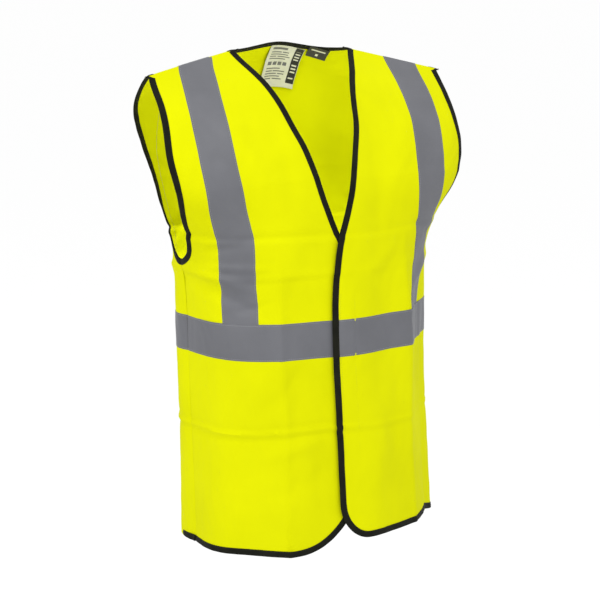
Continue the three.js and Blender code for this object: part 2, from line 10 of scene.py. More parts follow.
import bmesh
import bpy
import numpy as np
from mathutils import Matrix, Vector


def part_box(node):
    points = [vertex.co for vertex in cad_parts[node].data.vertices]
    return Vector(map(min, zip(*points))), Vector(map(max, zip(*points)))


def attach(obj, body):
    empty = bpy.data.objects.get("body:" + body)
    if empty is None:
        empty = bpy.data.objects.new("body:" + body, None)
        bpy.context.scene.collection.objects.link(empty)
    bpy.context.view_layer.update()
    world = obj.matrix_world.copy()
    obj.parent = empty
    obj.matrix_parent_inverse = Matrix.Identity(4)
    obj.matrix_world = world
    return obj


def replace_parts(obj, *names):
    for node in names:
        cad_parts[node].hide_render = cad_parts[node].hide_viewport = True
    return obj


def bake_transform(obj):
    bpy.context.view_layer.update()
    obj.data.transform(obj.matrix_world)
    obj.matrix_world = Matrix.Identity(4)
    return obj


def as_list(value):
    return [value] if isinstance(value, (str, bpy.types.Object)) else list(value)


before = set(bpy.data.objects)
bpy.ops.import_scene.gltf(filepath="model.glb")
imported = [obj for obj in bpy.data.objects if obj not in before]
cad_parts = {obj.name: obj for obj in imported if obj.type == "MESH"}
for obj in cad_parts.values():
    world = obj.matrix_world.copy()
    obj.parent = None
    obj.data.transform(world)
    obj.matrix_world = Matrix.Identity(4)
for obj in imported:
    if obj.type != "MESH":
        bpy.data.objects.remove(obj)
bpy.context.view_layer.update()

MM = 0.001

# ---------------------------------------------------------------- driving dimensions (mm)
HEM_DROP = -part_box("back_hem_binding")[0].z / MM  # neck points down to the hem
ARMHOLE_DROP = 281.0
NECK_HALF = 91.0
TAPE_WIDTH = 50.0
BAND_TOP = 360.0
# Bottom corners of the fronts: how far above the hem drop the front's own hem is, and the
# rounded corner's size across and up.
CORNERS = {"left": (18.0, 42.0, 50.0), "right": (2.0, 112.0, 138.0)}
RISE_FADE = (math.radians(50), math.radians(82))

# One row per level: drop, half width of the front and of the back, depth to the front
# and to the back of the side line, side line, forward roll of the front and of the back.
LEVELS = np.array([
    [0, 253, 253, 5, 46, 0, 24, 24],
    [60, 250, 256, 53, 72, -12, 32, 4],
    [120, 250, 246, 88, 90, -21, 27, 0],
    [180, 231, 222, 102, 100, -29, 26, 0],
    [235, 205, 198, 109, 106, -32, 9, 0],
    [285, 188, 188, 118, 109, -33, 0, 0],
    [400, 183, 183, 133, 114, -34, 0, 0],
    [560, 185, 185, 138, 118, -43, 0, 0],
    [683, 189, 189, 141, 120, -53, 0, 0],
], float)
ROUNDNESS = 2.4  # power of the rings' superellipse
RIDGE = 40.0  # radius of the rounding at the shoulder ridge
SLOPE = math.tan(math.radians(13))  # of the shoulders
SLOPE_SOFT = 25.0  # it starts softly over this distance from the centre line
SLOPE_FADE = 250.0  # and it is gone at this drop
NAPE_RISE = 7.0  # the back of the neck stands this much higher
NAPE_SPREAD = 20.0  # and the rise reaches this far past the neck points
NAPE_FADE = (20.0, 200.0)  # and fades between these drops
ROLL_AT = 225.0  # distance from the centre line at which the roll is full
# Where the cloth hangs flatter or fuller than those rings: angle from the centre front in
# degrees, and the ring's size as a share, at the waist band and at the hem.
FULLNESS = np.array([
    [-180, 1, 1], [-125, 1, 1], [-100, 1.01, 0.99], [-90, 0.98, 0.965], [-75, 0.965, 0.945],
    [-60, 0.98, 0.945], [-45, 1.005, 0.942], [-30, 1, 0.975], [-15, 0.98, 1], [0, 1, 1],
    [15, 0.985, 1], [25, 0.975, 1], [34, 1, 0.985], [50, 0.93, 0.94], [65, 0.96, 0.94],
    [76, 1.035, 1.02], [90, 1.015, 1.01], [115, 1, 1], [180, 1, 1],
], float)
FULLNESS_FROM = 200.0  # drop above which the rings keep their full size
FULLNESS_WAIST = 384.0  # drop of the table's waist column

# Neckline and front edge of a front: drop, distance from the centre line to its own side.
FRONT_EDGE = np.array([
    [0, NECK_HALF], [15, 83.5], [30, 75], [50, 64], [75, 54], [105, 45.5], [135, 34.7],
    [165, 25.8], [195, 17.5], [226, 6.5], [258, -5.5], [289, -13], [320, -18], [353, -20.7],
    [418, -23], [485, -22], [HEM_DROP, -21],
], float)
NAPE_DROP = 12.0  # the back neckline's lowest point
NAPE_CURVE = 2.5  # power of its curve
SHOULDER_HALF = 226.0  # from the centre line to the shoulder's end
MEET_WITHIN = 60.0  # drop over which the armhole's ends are brought together
# Armhole of the left side: angle in degrees, drop.
ARMHOLE = np.array([
    [57.6, 0], [61.3, 60], [62.2, 120], [66.3, 178], [71.3, 219], [74.5, 250], [81, 272],
    [90.5, ARMHOLE_DROP], [99, 272], [106, 250], [114, 217], [121, 187], [124.3, 153],
    [124.6, 115], [122, 72], [119.3, 32], [120.5, 0],
], float)
# Middle of the brace tapes: drop, distance from the centre line.
BRACE = {
    "left": np.array([
        [0, 171], [20, 171], [54, 170], [90, 168], [127, 164], [164, 162], [218, 163], [236, 162],
        [290, 152], [334, 138], [360, 132], [400, 128],
    ], float),
    "right": np.array([
        [0, 153], [15, 157], [45, 163], [77, 166], [110, 167], [145, 166], [197, 159], [232, 150],
        [249, 146], [282, 144], [356, 143], [400, 143],
    ], float),
    "left_back": np.array([[0, 171], [60, 170], [130, 168], [235, 156], [300, 148], [400, 142]], float),
    "right_back": np.array([[0, 153], [60, 160], [130, 166], [235, 156], [300, 148], [400, 142]], float),
}

CLOTH = (-0.35, 0.35)  # the cloth's two faces, out from its middle
SEAM_GROOVE = 2.2  # half width of the grooves at the seams
SEAM_DEPTH = 0.8  # and their depth
OVERLAP_LIFT = 5.0  # the left front lies this far over the right one
# Closure strips, from the first drop to the last, set back from the front edge.
STRIP_FROM = 325.0
STRIP_TO = 545.0
STRIP_SETBACK = 10.0
HOOK_WIDTH = 25.0
LOOP_WIDTH = 16.0
STRIP_SEAM_IN = 1.5  # a strip's seams, in from its edges
# The left front lies at its full height up to the first x and on the ring from the second.
LIFT_FULL = 25.0
LIFT_END = 70.0

# Creases from packing. Upright ones: on the front, x, height, width of the ridge.
UPRIGHT_CREASES = [
    (True, -94, 4.6, 9), (True, 110, 4.2, 9), (False, -100, 4.0, 12), (False, 100, 4.0, 12),
]
# Level ones: drop, height, width, and how strong they are on the left side.
LEVEL_CREASES = [
    (243, -2.8, 5, 0.4), (250, 1.6, 5, 0.4), (296, 1.8, 6, 0.3), (302, -1.2, 6, 0.3),
    (506, -1.6, 3.5, 0.5), (511, 2.6, 3.0, 0.5), (518, -2.2, 4.5, 0.5), (170, 0.7, 7, 1.0),
]
# Folds drawn from one spot to another: front, then x, drop at both ends, height, width.
FOLDS = [
    (True, -186, 290, -120, 318, 4.2, 7), (True, -184, 305, -110, 352, -3.2, 8),
    (True, -178, 262, -118, 248, -2.8, 7), (True, -170, 300, -150, 420, 2.4, 10),
    (True, -182, 284, -100, 286, 2.6, 5), (True, -150, 345, -100, 330, -1.4, 5),
    (True, 184, 290, 128, 330, 4.2, 8), (True, 180, 262, 130, 240, -3.0, 8),
    (True, 176, 320, 150, 440, 2.4, 11), (True, -60, 250, -105, 330, 1.8, 12),
    (True, 40, 300, 96, 262, 2.0, 11), (True, -130, 420, -60, 560, 2.6, 16),
    (True, -150, 440, -140, 640, -3.0, 17), (True, 70, 430, 40, 600, 2.4, 16),
    (True, 150, 430, 165, 640, -2.6, 16), (True, -30, 430, -50, 640, -2.2, 15),
    (True, -120, 545, -40, 520, 2.0, 10), (True, -110, 600, -20, 555, -1.6, 12),
    (True, -60, 420, -140, 500, -1.8, 12), (True, 50, 470, 90, 580, -1.8, 12),
    (True, -150, 60, -90, 200, 2.0, 15), (True, 150, 60, 90, 200, 2.0, 15),
    (True, -80, 90, -60, 230, -1.6, 14), (True, 90, 100, 60, 260, -1.4, 14),
    (False, -186, 292, -110, 330, 4.2, 9), (False, 186, 292, 110, 330, 4.2, 9),
    (False, -182, 262, -120, 225, -3.2, 9), (False, 182, 262, 120, 225, -3.2, 9),
    (False, -60, 60, 60, 70, 2.4, 16), (False, -120, 90, -60, 260, 2.2, 18),
    (False, 120, 90, 60, 260, 2.2, 18), (False, -50, 430, -70, 660, 3.4, 20),
    (False, 40, 420, 60, 660, 3.6, 20), (False, -150, 430, -150, 660, 3.0, 16),
    (False, 150, 430, 150, 660, 3.0, 16), (False, 0, 300, -10, 420, -2.6, 18),
    (False, -90, 330, 20, 300, 2.0, 11), (False, -40, 120, 50, 250, -1.8, 14),
]

UPRIGHT_RANGE = (200.0, 380.0)  # the upright creases come in between these drops
LEVEL_RANGE = (-60.0, 20.0)  # the level ones weaken between these distances from the centre
FOLD_STARTS = (-0.12, 0.25)  # shares of a fold's length over which it rises
FOLD_ENDS = (0.6, 1.15)  # and dies away
BLUNT = 1.6  # radius of a crease's top
GROOVE_FADE = 6.0  # the closure's seams fade out over this distance
GROOVES = ((2.4, 1.0), (2.2, 0.6))  # width and strength of the last seam and the first one

# How the surface is measured and walked over.
STEP = 0.004  # angle and way between the points a slope is taken from
WALK = 2.5  # longest single step over the surface
TOP_WAY = 0.002  # pieces start this close to the shoulder ridge
SIDE = math.pi / 2  # angle of the side seam
SIDES = {"left": 1, "right": -1}
CROWDING = 1.4  # rows crowd towards the shoulder ridge
EDGE_ROUNDS = 40  # rounds in which the fronts' rows settle on the hem
EDGE_COUNT, CORNER_COUNT, HEM_COUNT = 400, 60, 200  # spots of a front's outline
NAPE_COUNT = 161
BACK_HEM_COUNT = 600
ARMHOLE_COUNT = 24  # spots between two points of the armhole
SHARP = math.radians(50)  # edges sharper than this aren't smoothed


# ---------------------------------------------------------------- small maths
def smooth(start, end, x):
    t = np.clip((x - start) / (end - start), 0, 1)
    return t * t * (3 - 2 * t)


def through(points, x):
    """A smooth curve through points (x, y), by cubic Hermite pieces."""
    xs, ys = points[:, 0], points[:, 1]
    last = len(xs) - 1
    before = np.maximum(np.arange(last + 1) - 1, 0)
    after = np.minimum(np.arange(last + 1) + 1, last)
    slopes = (ys[after] - ys[before]) / (xs[after] - xs[before])
    i = np.clip(np.searchsorted(xs, x, side="right") - 1, 0, last - 1)
    width = xs[i + 1] - xs[i]
    t = np.clip((x - xs[i]) / width, 0, 1)
    return ((2 * t**3 - 3 * t**2 + 1) * ys[i] + (t**3 - 2 * t**2 + t) * width * slopes[i]
            + (3 * t**2 - 2 * t**3) * ys[i + 1] + (t**3 - t**2) * width * slopes[i + 1])


def level(column, drop):
    return through(LEVELS[:, [0, column]], drop)


def unit(vectors):
    return vectors / np.maximum(np.linalg.norm(vectors, axis=-1, keepdims=True), 1e-12)


def drop_at(way):
    return np.where(way < 1, RIDGE * (1 - np.cos(np.clip(way, 0, 1) * math.pi / 2)), RIDGE * way)


def way_at(drop):
    drop = np.asarray(drop, float)
    rounding = np.arccos(1 - np.clip(drop, 0, RIDGE) / RIDGE) / (math.pi / 2)
    return np.where(drop < RIDGE, rounding, drop / RIDGE)


# ---------------------------------------------------------------- the vest's surface
def fullness(angle, drop):
    """The share of its size that a ring keeps at an angle."""
    degrees = np.degrees(angle)
    degrees = np.where(degrees > 180, degrees - 360, degrees)
    waist = through(FULLNESS[:, [0, 1]], degrees)
    hem = through(FULLNESS[:, [0, 2]], degrees)
    to_waist = smooth(FULLNESS_FROM, FULLNESS_WAIST, drop)
    return 1 + (waist - 1) * to_waist + (hem - waist) * smooth(FULLNESS_WAIST, HEM_DROP, drop)


def base(angle, way):
    """The plain surface, without creases."""
    drop = drop_at(way)
    sin, cos = np.sin(angle), np.cos(angle)
    ring = (np.abs(sin)**ROUNDNESS + np.abs(cos)**ROUNDNESS)**(-1 / ROUNDNESS)
    scale = ring * fullness(angle, drop)
    front = cos >= 0
    x = scale * sin * np.where(front, level(1, drop), level(2, drop))
    rounding = np.where(way < 1, np.sin(np.clip(way, 0, 1) * math.pi / 2), 1.0)
    depth = scale * cos * rounding * np.where(front, level(3, drop), level(4, drop))
    roll = np.where(front, level(6, drop), level(7, drop)) * (x / ROLL_AT)**2
    fall = np.hypot(x, SLOPE_SOFT) - math.hypot(NECK_HALF, SLOPE_SOFT)
    nape = np.where(front, 0, NAPE_RISE * rounding * (1 - smooth(0, NECK_HALF + NAPE_SPREAD, np.abs(x))))
    sloped = SLOPE * fall * (1 - smooth(0, SLOPE_FADE, drop))
    z = -drop - sloped + nape * (1 - smooth(*NAPE_FADE, drop))
    return np.stack([x, level(5, drop) - depth - roll, z], -1)


def ridge(distance, width):
    """A crease: a rounded tent of height 1."""
    return np.exp((BLUNT - np.sqrt(distance**2 + BLUNT**2)) / width)


def fold(x, drop, start, end, width):
    """A soft fold along a line, dying away at its ends."""
    along = np.subtract(end, start)
    length = math.hypot(*along)
    part = ((x - start[0]) * along[0] + (drop - start[1]) * along[1]) / length**2
    apart = np.hypot(x - start[0] - part * along[0], drop - start[1] - part * along[1])
    ends = smooth(*FOLD_STARTS, part) * (1 - smooth(*FOLD_ENDS, part))
    return np.exp(-(apart / width)**2) * ends


def folds(x, drop, on_front):
    out = np.zeros_like(x)
    for side, x0, drop0, x1, drop1, height, width in FOLDS:
        if side == on_front:
            out += height * fold(x, drop, (x0, drop0), (x1, drop1), width)
    return out


def creases(x, angle, drop, front):
    out = np.zeros_like(x)
    for on_front, at_x, height, width in UPRIGHT_CREASES:
        wander = 1.2 * np.sin(drop / 37 + at_x)
        crease = height * ridge(x - at_x - wander, width) * smooth(*UPRIGHT_RANGE, drop)
        out += (front == on_front) * crease
    for at_drop, height, width, left in LEVEL_CREASES:
        wander = 3 * np.sin(angle * 2.3 + round(at_drop / 100)) + 1.5 * np.sin(angle * 5.1)
        share = left + (1 - left) * (1 - smooth(*LEVEL_RANGE, x))
        out += height * share * ridge(drop - at_drop - wander, width) * smooth(0, 60, drop)
    return out


def waves(angle, drop):
    """Soft waves of the hanging cloth and small unevenness."""
    hem = smooth(400, HEM_DROP, drop)
    out = hem * (1.8 * np.sin(5 * angle + 0.8) + 1.4 * np.sin(9 * angle + drop / 160 + 2.0))
    bent = drop / 47 + 3.1 * np.sin(angle * 1.7 + 0.4)
    out += smooth(20, 120, drop) * 1.1 * np.sin(bent) * np.sin(angle * 6.3)
    fine = np.sin(angle * 31 + 2.6 * np.sin(drop / 23)) * np.sin(drop / 11.5 + 2.2 * np.sin(angle * 13))
    out += smooth(10, 60, drop) * 0.3 * fine
    return out


def relief(point, angle, drop):
    """How far the cloth stands out from the plain surface."""
    x = point[..., 0]
    front = np.cos(angle) >= 0
    out = creases(x, angle, drop, front) + waves(angle, drop)
    for on_front in (True, False):
        here = front == on_front
        if np.any(here):
            out = out + here * folds(x, drop, on_front)
    side = np.abs(np.abs(angle) - math.pi / 2) * level(3, drop)
    shoulder = np.sqrt(2 * RIDGE * np.maximum(drop, 0))
    seams = np.exp(-(side / SEAM_GROOVE)**2) + np.exp(-(shoulder / SEAM_GROOVE)**2)
    return out - SEAM_DEPTH * seams


def strip_grooves(x, drop):
    """The closure strip's seams pull the left front in."""
    inside = x - through(FRONT_EDGE, drop)
    ended = smooth(STRIP_TO, STRIP_TO + GROOVE_FADE, drop)
    along = smooth(STRIP_FROM - GROOVE_FADE, STRIP_FROM, drop) * (1 - ended)
    tug = 0.8 + 0.35 * np.sin(drop / 4.3) + 0.3 * np.sin(drop / 9.1)
    seams = (STRIP_SETBACK + HOOK_WIDTH - STRIP_SEAM_IN, STRIP_SETBACK + STRIP_SEAM_IN)
    grooves = [strength * np.exp(-((inside - at) / width)**2)
               for at, (width, strength) in zip(seams, GROOVES)]
    return -tug * along * sum(grooves)


def shape(angle, way, lifted):
    """The cloth's middle surface: the plain surface, its relief and the front's overlap."""
    point = base(angle, way)
    front = np.cos(angle) >= 0
    turn = np.where((np.cos(angle + STEP) >= 0) == front, STEP, -STEP)
    around = (base(angle + turn, way) - point) / turn[..., None]
    down = (base(angle, way + STEP) - point) / STEP
    normal = unit(np.cross(down, around))
    out = relief(point, angle, drop_at(way))
    if lifted:
        x = point[..., 0]
        raised = OVERLAP_LIFT * (1 - smooth(LIFT_FULL, LIFT_END, x)) + strip_grooves(x, drop_at(way))
        out = out + np.where(front, raised, 0)
    return point + normal * out[..., None]


def surface(spots, lifted=False):
    """Point, outward normal and the two derivatives at spots (angle, way)."""
    angle, way = spots[..., 0], spots[..., 1]
    point = shape(angle, way, lifted)
    turn = np.where((np.cos(angle + 2 * STEP) >= 0) == (np.cos(angle) >= 0), STEP, -STEP)
    around = (shape(angle + turn, way, lifted) - point) / turn[..., None]
    down = (shape(angle, way + STEP, lifted) - point) / STEP
    return point, unit(np.cross(down, around)), around, down


def stepped(spots, step, lifted=False):
    """Spots reached by small steps (vectors in space); at the shoulder ridge they slide along it."""
    _, _, around, down = surface(spots, lifted)
    aa, ad, dd = (around * around).sum(-1), (around * down).sum(-1), (down * down).sum(-1)
    sa, sd = (around * step).sum(-1), (down * step).sum(-1)
    det = aa * dd - ad * ad
    after = spots + np.stack([(dd * sa - ad * sd) / det, (aa * sd - ad * sa) / det], -1)
    slid = spots[..., 0] + np.sign(sa) * np.linalg.norm(step, axis=-1) / np.sqrt(aa)
    past = after[..., 1] < TOP_WAY
    return np.stack([np.where(past, slid, after[..., 0]), np.maximum(after[..., 1], TOP_WAY)], -1)


def walked(spots, direction, distance, lifted=False):
    """Spots reached by walking over the surface, keeping to a direction."""
    count = max(int(math.ceil(abs(distance) / WALK)), 1)
    for _ in range(count):
        normal = surface(spots, lifted)[1]
        direction = unit(direction - (direction * normal).sum(-1, keepdims=True) * normal)
        spots = stepped(spots, direction * (distance / count), lifted)
    return spots


def angle_at(x, drop, back=False):
    """The ring angle at which the front or the back is x from the centre line."""
    half = level(2 if back else 1, drop)
    angle = np.full(np.broadcast(x, drop).shape, math.pi if back else 0.0)
    for _ in range(8):
        across = np.clip(np.abs(x) / half / fullness(angle, drop), 0, 1)
        along = (1 - across**ROUNDNESS)**(1 / ROUNDNESS)
        angle = np.where(np.asarray(x) < 0, -1, 1) * np.arctan2(across, -along if back else along)
    return angle


# ---------------------------------------------------------------- outlines
def resampled(spots, step, closed=False, lifted=False):
    """The same path with even steps, about step long; a closed one ends one step short."""
    length = lengths_along(surface(spots, lifted)[0], 0)
    count = max(int(round(length[-1] / step)), 2)
    at = np.linspace(0, length[-1], count + 1)
    path = np.stack([np.interp(at, length, spots[:, 0]), np.interp(at, length, spots[:, 1])], -1)
    return path[:-1] if closed else path


def spline(points, count):
    """Centripetal Catmull-Rom curve through points."""
    ends = [2 * points[0] - points[1], *points, 2 * points[-1] - points[-2]]
    knots = np.concatenate([[0], np.cumsum(np.linalg.norm(np.diff(ends, axis=0), axis=1)**0.5)])
    out = []
    for i in range(1, len(ends) - 2):
        t = np.linspace(knots[i], knots[i + 1], count, endpoint=False)[:, None]
        line = [((knots[j + 1] - t) * ends[j] + (t - knots[j]) * ends[j + 1]) / (knots[j + 1] - knots[j])
                for j in (i - 1, i, i + 1)]
        bend = [((knots[j + 2] - t) * line[k] + (t - knots[j]) * line[k + 1]) / (knots[j + 2] - knots[j])
                for k, j in ((0, i - 1), (1, i))]
        out.append(((knots[i + 1] - t) * bend[0] + (t - knots[i]) * bend[1]) / (knots[i + 1] - knots[i]))
    return np.concatenate([*out, points[-1:]])


class Front:
    """Outlines of one front; angles are signed, and the paths run down and to the side."""

    def __init__(self, which):
        self.sign = SIDES[which]
        rise, width, height = CORNERS[which]
        low = HEM_DROP - rise
        drops = drop_at(np.linspace(0, way_at(low - height), EDGE_COUNT))
        edge = self.spots(through(FRONT_EDGE, drops), drops)
        turn = np.linspace(0, math.pi / 2, CORNER_COUNT)[1:]
        x = through(FRONT_EDGE, low) + width * (1 - np.cos(turn))
        corner = self.spots(x, low - height * (1 - np.sin(turn)))
        angles = np.linspace(abs(corner[-1, 0]), SIDE, HEM_COUNT)[1:]
        hem_drops = HEM_DROP - rise * (1 - smooth(*RISE_FADE, angles))
        hem = np.stack([self.sign * angles, way_at(hem_drops)], -1)
        self.edge = edge
        # The hem here starts with the front edge's last spot and its rounded corner.
        self.hem = np.concatenate([edge[-1:], corner, hem])
        self.path = np.concatenate([edge, corner, hem])

    def spots(self, x, drops):
        return np.stack([angle_at(self.sign * x, drops), way_at(drops)], -1)

    def inner(self, way):
        """Size of the edge's angle at a way down."""
        angles, ways = np.concatenate([self.edge, self.hem[1:CORNER_COUNT]]).T
        return self.sign * np.interp(way, ways, angles)

    def bottom(self, size):
        return np.interp(size, self.sign * self.hem[:, 0], self.hem[:, 1])


fronts = {which: Front(which) for which in SIDES}
armhole_path = spline(np.stack([np.radians(ARMHOLE[:, 0]), way_at(ARMHOLE[:, 1])], -1), ARMHOLE_COUNT)


def meet_at_ridge(path):
    """Both ends of the armhole reach the shoulder ridge at the same spot."""
    drops = drop_at(path[:, 1])
    share = 1 - smooth(0, MEET_WITHIN, drops)
    ends = [angle_at(SHOULDER_HALF, 0.0), angle_at(SHOULDER_HALF, 0.0, back=True)]
    shifts = [float(ends[0]) - path[0, 0], float(ends[1]) - path[-1, 0]]
    shift = np.where(path[:, 0] < SIDE, *shifts)
    return np.stack([path[:, 0] + shift * share, path[:, 1]], -1)


armhole_path = meet_at_ridge(armhole_path)
underarm = int(np.argmax(armhole_path[:, 1]))


def nape_outline():
    part = np.linspace(1, -1, NAPE_COUNT)
    drops = NAPE_DROP * (1 - np.abs(part)**NAPE_CURVE)
    angles = angle_at(NECK_HALF * part, drops, back=True)
    return np.stack([np.where(angles < 0, angles + 2 * math.pi, angles), way_at(drops)], -1)


nape_path = nape_outline()


def outer_edge(way, back=False):
    """Angle of the armhole, and below it of the side seam, on the front or the back."""
    half = armhole_path[underarm:][::-1] if back else armhole_path[:underarm + 1]
    return np.where(way < half[-1, 1], np.interp(way, half[:, 1], half[:, 0]), SIDE)


# ---------------------------------------------------------------- meshes
def make_object(name, points, quads, material, uv=None):
    """A mesh object from points in mm and quads; uv is a place on the flat cloth in mm."""
    mesh = bpy.data.meshes.new(name)
    mesh.vertices.add(len(points))
    mesh.vertices.foreach_set("co", (points * MM).astype(np.float32).ravel())
    mesh.loops.add(quads.size)
    mesh.loops.foreach_set("vertex_index", quads.astype(np.int32).ravel())
    mesh.polygons.add(len(quads))
    mesh.polygons.foreach_set("loop_start", np.arange(0, quads.size, 4, dtype=np.int32))
    mesh.update(calc_edges=True)
    if uv is not None:
        layer = mesh.uv_layers.new(name="flat")
        layer.uv.foreach_set("vector", (uv[quads.ravel()] * MM).astype(np.float32).ravel())
    mesh.validate()
    shell = bmesh.new()
    shell.from_mesh(mesh)
    bmesh.ops.recalc_face_normals(shell, faces=shell.faces)
    shell.to_mesh(mesh)
    shell.free()
    mesh.shade_smooth()
    mesh.set_sharp_from_angle(angle=SHARP)
    mesh.materials.append(material)
    obj = bpy.data.objects.new(f"{name}_visual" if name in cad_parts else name, mesh)
    bpy.context.scene.collection.objects.link(obj)
    return obj


def grid_quads(rows, columns, wrap_rows=False):
    """Quads of a grid whose columns close into a tube."""
    down = np.arange(rows if wrap_rows else rows - 1)
    i, j = np.meshgrid(down, np.arange(columns), indexing="ij")
    below, right = (i + 1) % rows, (j + 1) % columns
    corners = [i * columns + j, i * columns + right, below * columns + right, below * columns + j]
    return np.stack(corners, -1).reshape(-1, 4)


def tube_object(name, sections, material, uv=None, closed=False):
    """sections is rows x outline points: a tube, closed on itself or with filled ends."""
    rows, columns = sections.shape[:2]
    quads = grid_quads(rows, columns, closed)
    if not closed:
        half = columns // 2
        k = np.arange(half - 1)
        cap = np.stack([k, columns - 1 - k, columns - 2 - k, k + 1], -1)
        end = (rows - 1) * columns + cap[:, ::-1]
        quads = np.concatenate([quads, cap, end])
    flat = None if uv is None else uv.reshape(-1, 2)
    return make_object(name, sections.reshape(-1, 3), quads, material, flat)


def lengths_along(point, axis):
    """Running length along one axis of a grid of points."""
    step = np.linalg.norm(np.diff(point, axis=axis), axis=-1)
    start = np.zeros_like(np.take(step, [0], axis=axis))
    return np.concatenate([start, np.cumsum(step, axis=axis)], axis=axis)


def flat_uv_of(point):
    """Places on the flat cloth for a grid of points: lengths across and down."""
    across = lengths_along(point, 1)
    return np.stack([across - across[:, :1], lengths_along(point, 0)], -1)


def sheet_object(name, spots, offsets, material, lifted=False):
    """A thin sheet over a grid of spots; offsets may differ from column to column."""
    point, normal, _, _ = surface(spots, lifted)
    low, high = (np.broadcast_to(offset, point.shape[:2])[..., None] for offset in offsets)
    outline = np.concatenate([point + normal * high, (point + normal * low)[:, ::-1]], axis=1)
    uv = flat_uv_of(point)
    both = np.concatenate([uv, uv[:, ::-1]], axis=1)
    return tube_object(name, outline, material, both)


def crowded(count, ends=(0.0, 1.0), reach=0.02):
    """Even positions from 0 to 1, with more of them close to the given ends."""
    parts = [np.linspace(0, 1, count)]
    for end in ends:
        parts.append(np.abs(end - reach * np.array([0.06, 0.14, 0.28, 0.5])))
    return np.unique(np.concatenate(parts))


def front_grid(front, rows, columns):
    down = np.linspace(0, 1, rows)[:, None]**CROWDING
    across = crowded(columns, ends=(1.0,))[None, :]
    low = np.full(across.shape, float(way_at(HEM_DROP)))
    for _ in range(EDGE_ROUNDS):
        inner = front.inner(low)
        goal = front.bottom(inner + (SIDE - inner) * across)
        low = (low + goal) / 2
    way = TOP_WAY + (low - TOP_WAY) * down
    inner, outer = front.inner(way), outer_edge(way)
    return np.stack([front.sign * (inner + (outer - inner) * across), way], -1)


def back_grid(rows, columns):
    down = np.linspace(0, 1, rows)[:, None]**CROWDING
    across = 2 * crowded(columns, reach=0.01)[None, :] - 1
    spread = math.pi - outer_edge(np.array(0.0), back=True)
    top_angle = math.pi + across * spread
    nape = nape_path[:, 0], nape_path[:, 1]
    top = np.interp(top_angle, *nape, left=0, right=0)
    low = float(way_at(HEM_DROP))
    way = TOP_WAY + top + (low - top - TOP_WAY) * down
    angle = math.pi + across * (math.pi - outer_edge(way, back=True))
    return wrapped(np.stack([angle, way], -1))


def wrapped(spots):
    """Angles over pi turned back to the right side's negative ones, for the surface."""
    angle = np.where(spots[..., 0] > math.pi, spots[..., 0] - 2 * math.pi, spots[..., 0])
    return np.stack([angle, spots[..., 1]], -1)


# ---------------------------------------------------------------- bindings
# Section of a folded binding: distance in from the cloth's edge, distance from its middle.
BINDING_SECTION = np.array([
    [8.2, 0.42], [8.35, 0.72], [8.05, 0.98], [7.5, 1.02], [6.9, 0.84], [6.3, 1.06], [5.0, 1.2],
    [3.2, 1.28], [1.4, 1.24], [0.3, 1.02], [-0.35, 0.62], [-0.6, 0.2],
], float)
STITCH_IN = 6.9  # the binding's seam, in from the edge
RAISED_FROM = 0.3  # outline points above this height step over the band
SWELL = 0.10  # share by which a binding's thickness wavers


def inward_at(path, closed, lifted, sign):
    point, normal, _, _ = surface(path, lifted)
    if closed:
        along = np.roll(point, -1, axis=0) - np.roll(point, 1, axis=0)
    else:
        along = np.gradient(point, axis=0)
    return unit(np.cross(normal, along)) * sign


def spread_out(path, distances, advance):
    """Spots at distances to both sides of a path, as rows; each is reached from the one before."""
    columns = {}
    for side in (1, -1):
        spots, reached = path, 0.0
        for distance in sorted((d for d in set(distances) if d * side >= 0), key=abs):
            spots = advance(spots, distance - reached)
            columns[distance] = spots
            reached = distance
    return np.stack([columns[distance] for distance in distances], 1)


def strip_spots(path, distances, lifted=False, sign=1, closed=False):
    """Spots at distances in from a path, straight across it."""
    inward = inward_at(path, closed, lifted, sign)
    return spread_out(path, distances, lambda spots, step: walked(spots, inward, step, lifted))


def pucker(length, seed):
    """A small unevenness along a seam."""
    short = 0.5 * np.sin(length / 4.1 + seed) + 0.3 * np.sin(length / 2.3 + 2 * seed)
    return short + 0.4 * np.sin(length / 9.7)


def binding_object(name, path, material, closed=False, lifted=False, sign=1, over=None):
    outer = BINDING_SECTION
    inner = (BINDING_SECTION * [1, -1])[::-1]
    section = np.concatenate([outer, inner])
    spots = strip_spots(path, [float(distance) for distance in section[:, 0]], lifted, sign, closed)
    point, normal, _, _ = surface(spots, lifted)
    length = lengths_along(point[:, 3], 0)
    swell = 1 + SWELL * pucker(length, len(name))[:, None, None]
    heights = section[None, :, 1:] * swell
    if over is not None:
        heights = heights + np.where(section[:, 1] > RAISED_FROM, over(path)[:, None], 0)[..., None]
    sections = point + normal * heights
    around = np.concatenate([[0], np.cumsum(np.linalg.norm(np.diff(section, axis=0), axis=1))])
    uv = np.stack(np.broadcast_arrays(around[None, :], length[:, None]), -1)
    return tube_object(name, sections, material, uv, closed)


# ---------------------------------------------------------------- stitches
STITCH_LENGTH = 2.3
STITCH_PITCH = 3.1
STITCH_RADIUS = 0.26
# Rings of one stitch: place along it, width, height over the cloth in radii.
CAPSULE_RINGS = [
    (-0.5, 0.15, -1.2), (-0.42, 0.8, -0.5), (-0.2, 1.0, 0.3), (0.2, 1.0, 0.3),
    (0.42, 0.8, -0.5), (0.5, 0.15, -1.2),
]
CAPSULE_SIDES = 6


def stitch_points(centres, along, normals):
    """One small capsule per stitch, sunk at both ends: stitches x rings x outline points."""
    turn = np.linspace(0, 2 * math.pi, CAPSULE_SIDES, endpoint=False)
    across = unit(np.cross(normals, along))
    rings = []
    for at, width, lift in CAPSULE_RINGS:
        middle = centres + along * (at * STITCH_LENGTH) + normals * (lift * STITCH_RADIUS)
        ring = (middle[:, None] + across[:, None] * (np.cos(turn) * width * STITCH_RADIUS)[None, :, None]
                + normals[:, None] * (np.sin(turn) * width * STITCH_RADIUS)[None, :, None])
        rings.append(ring)
    return np.stack(rings, 1)


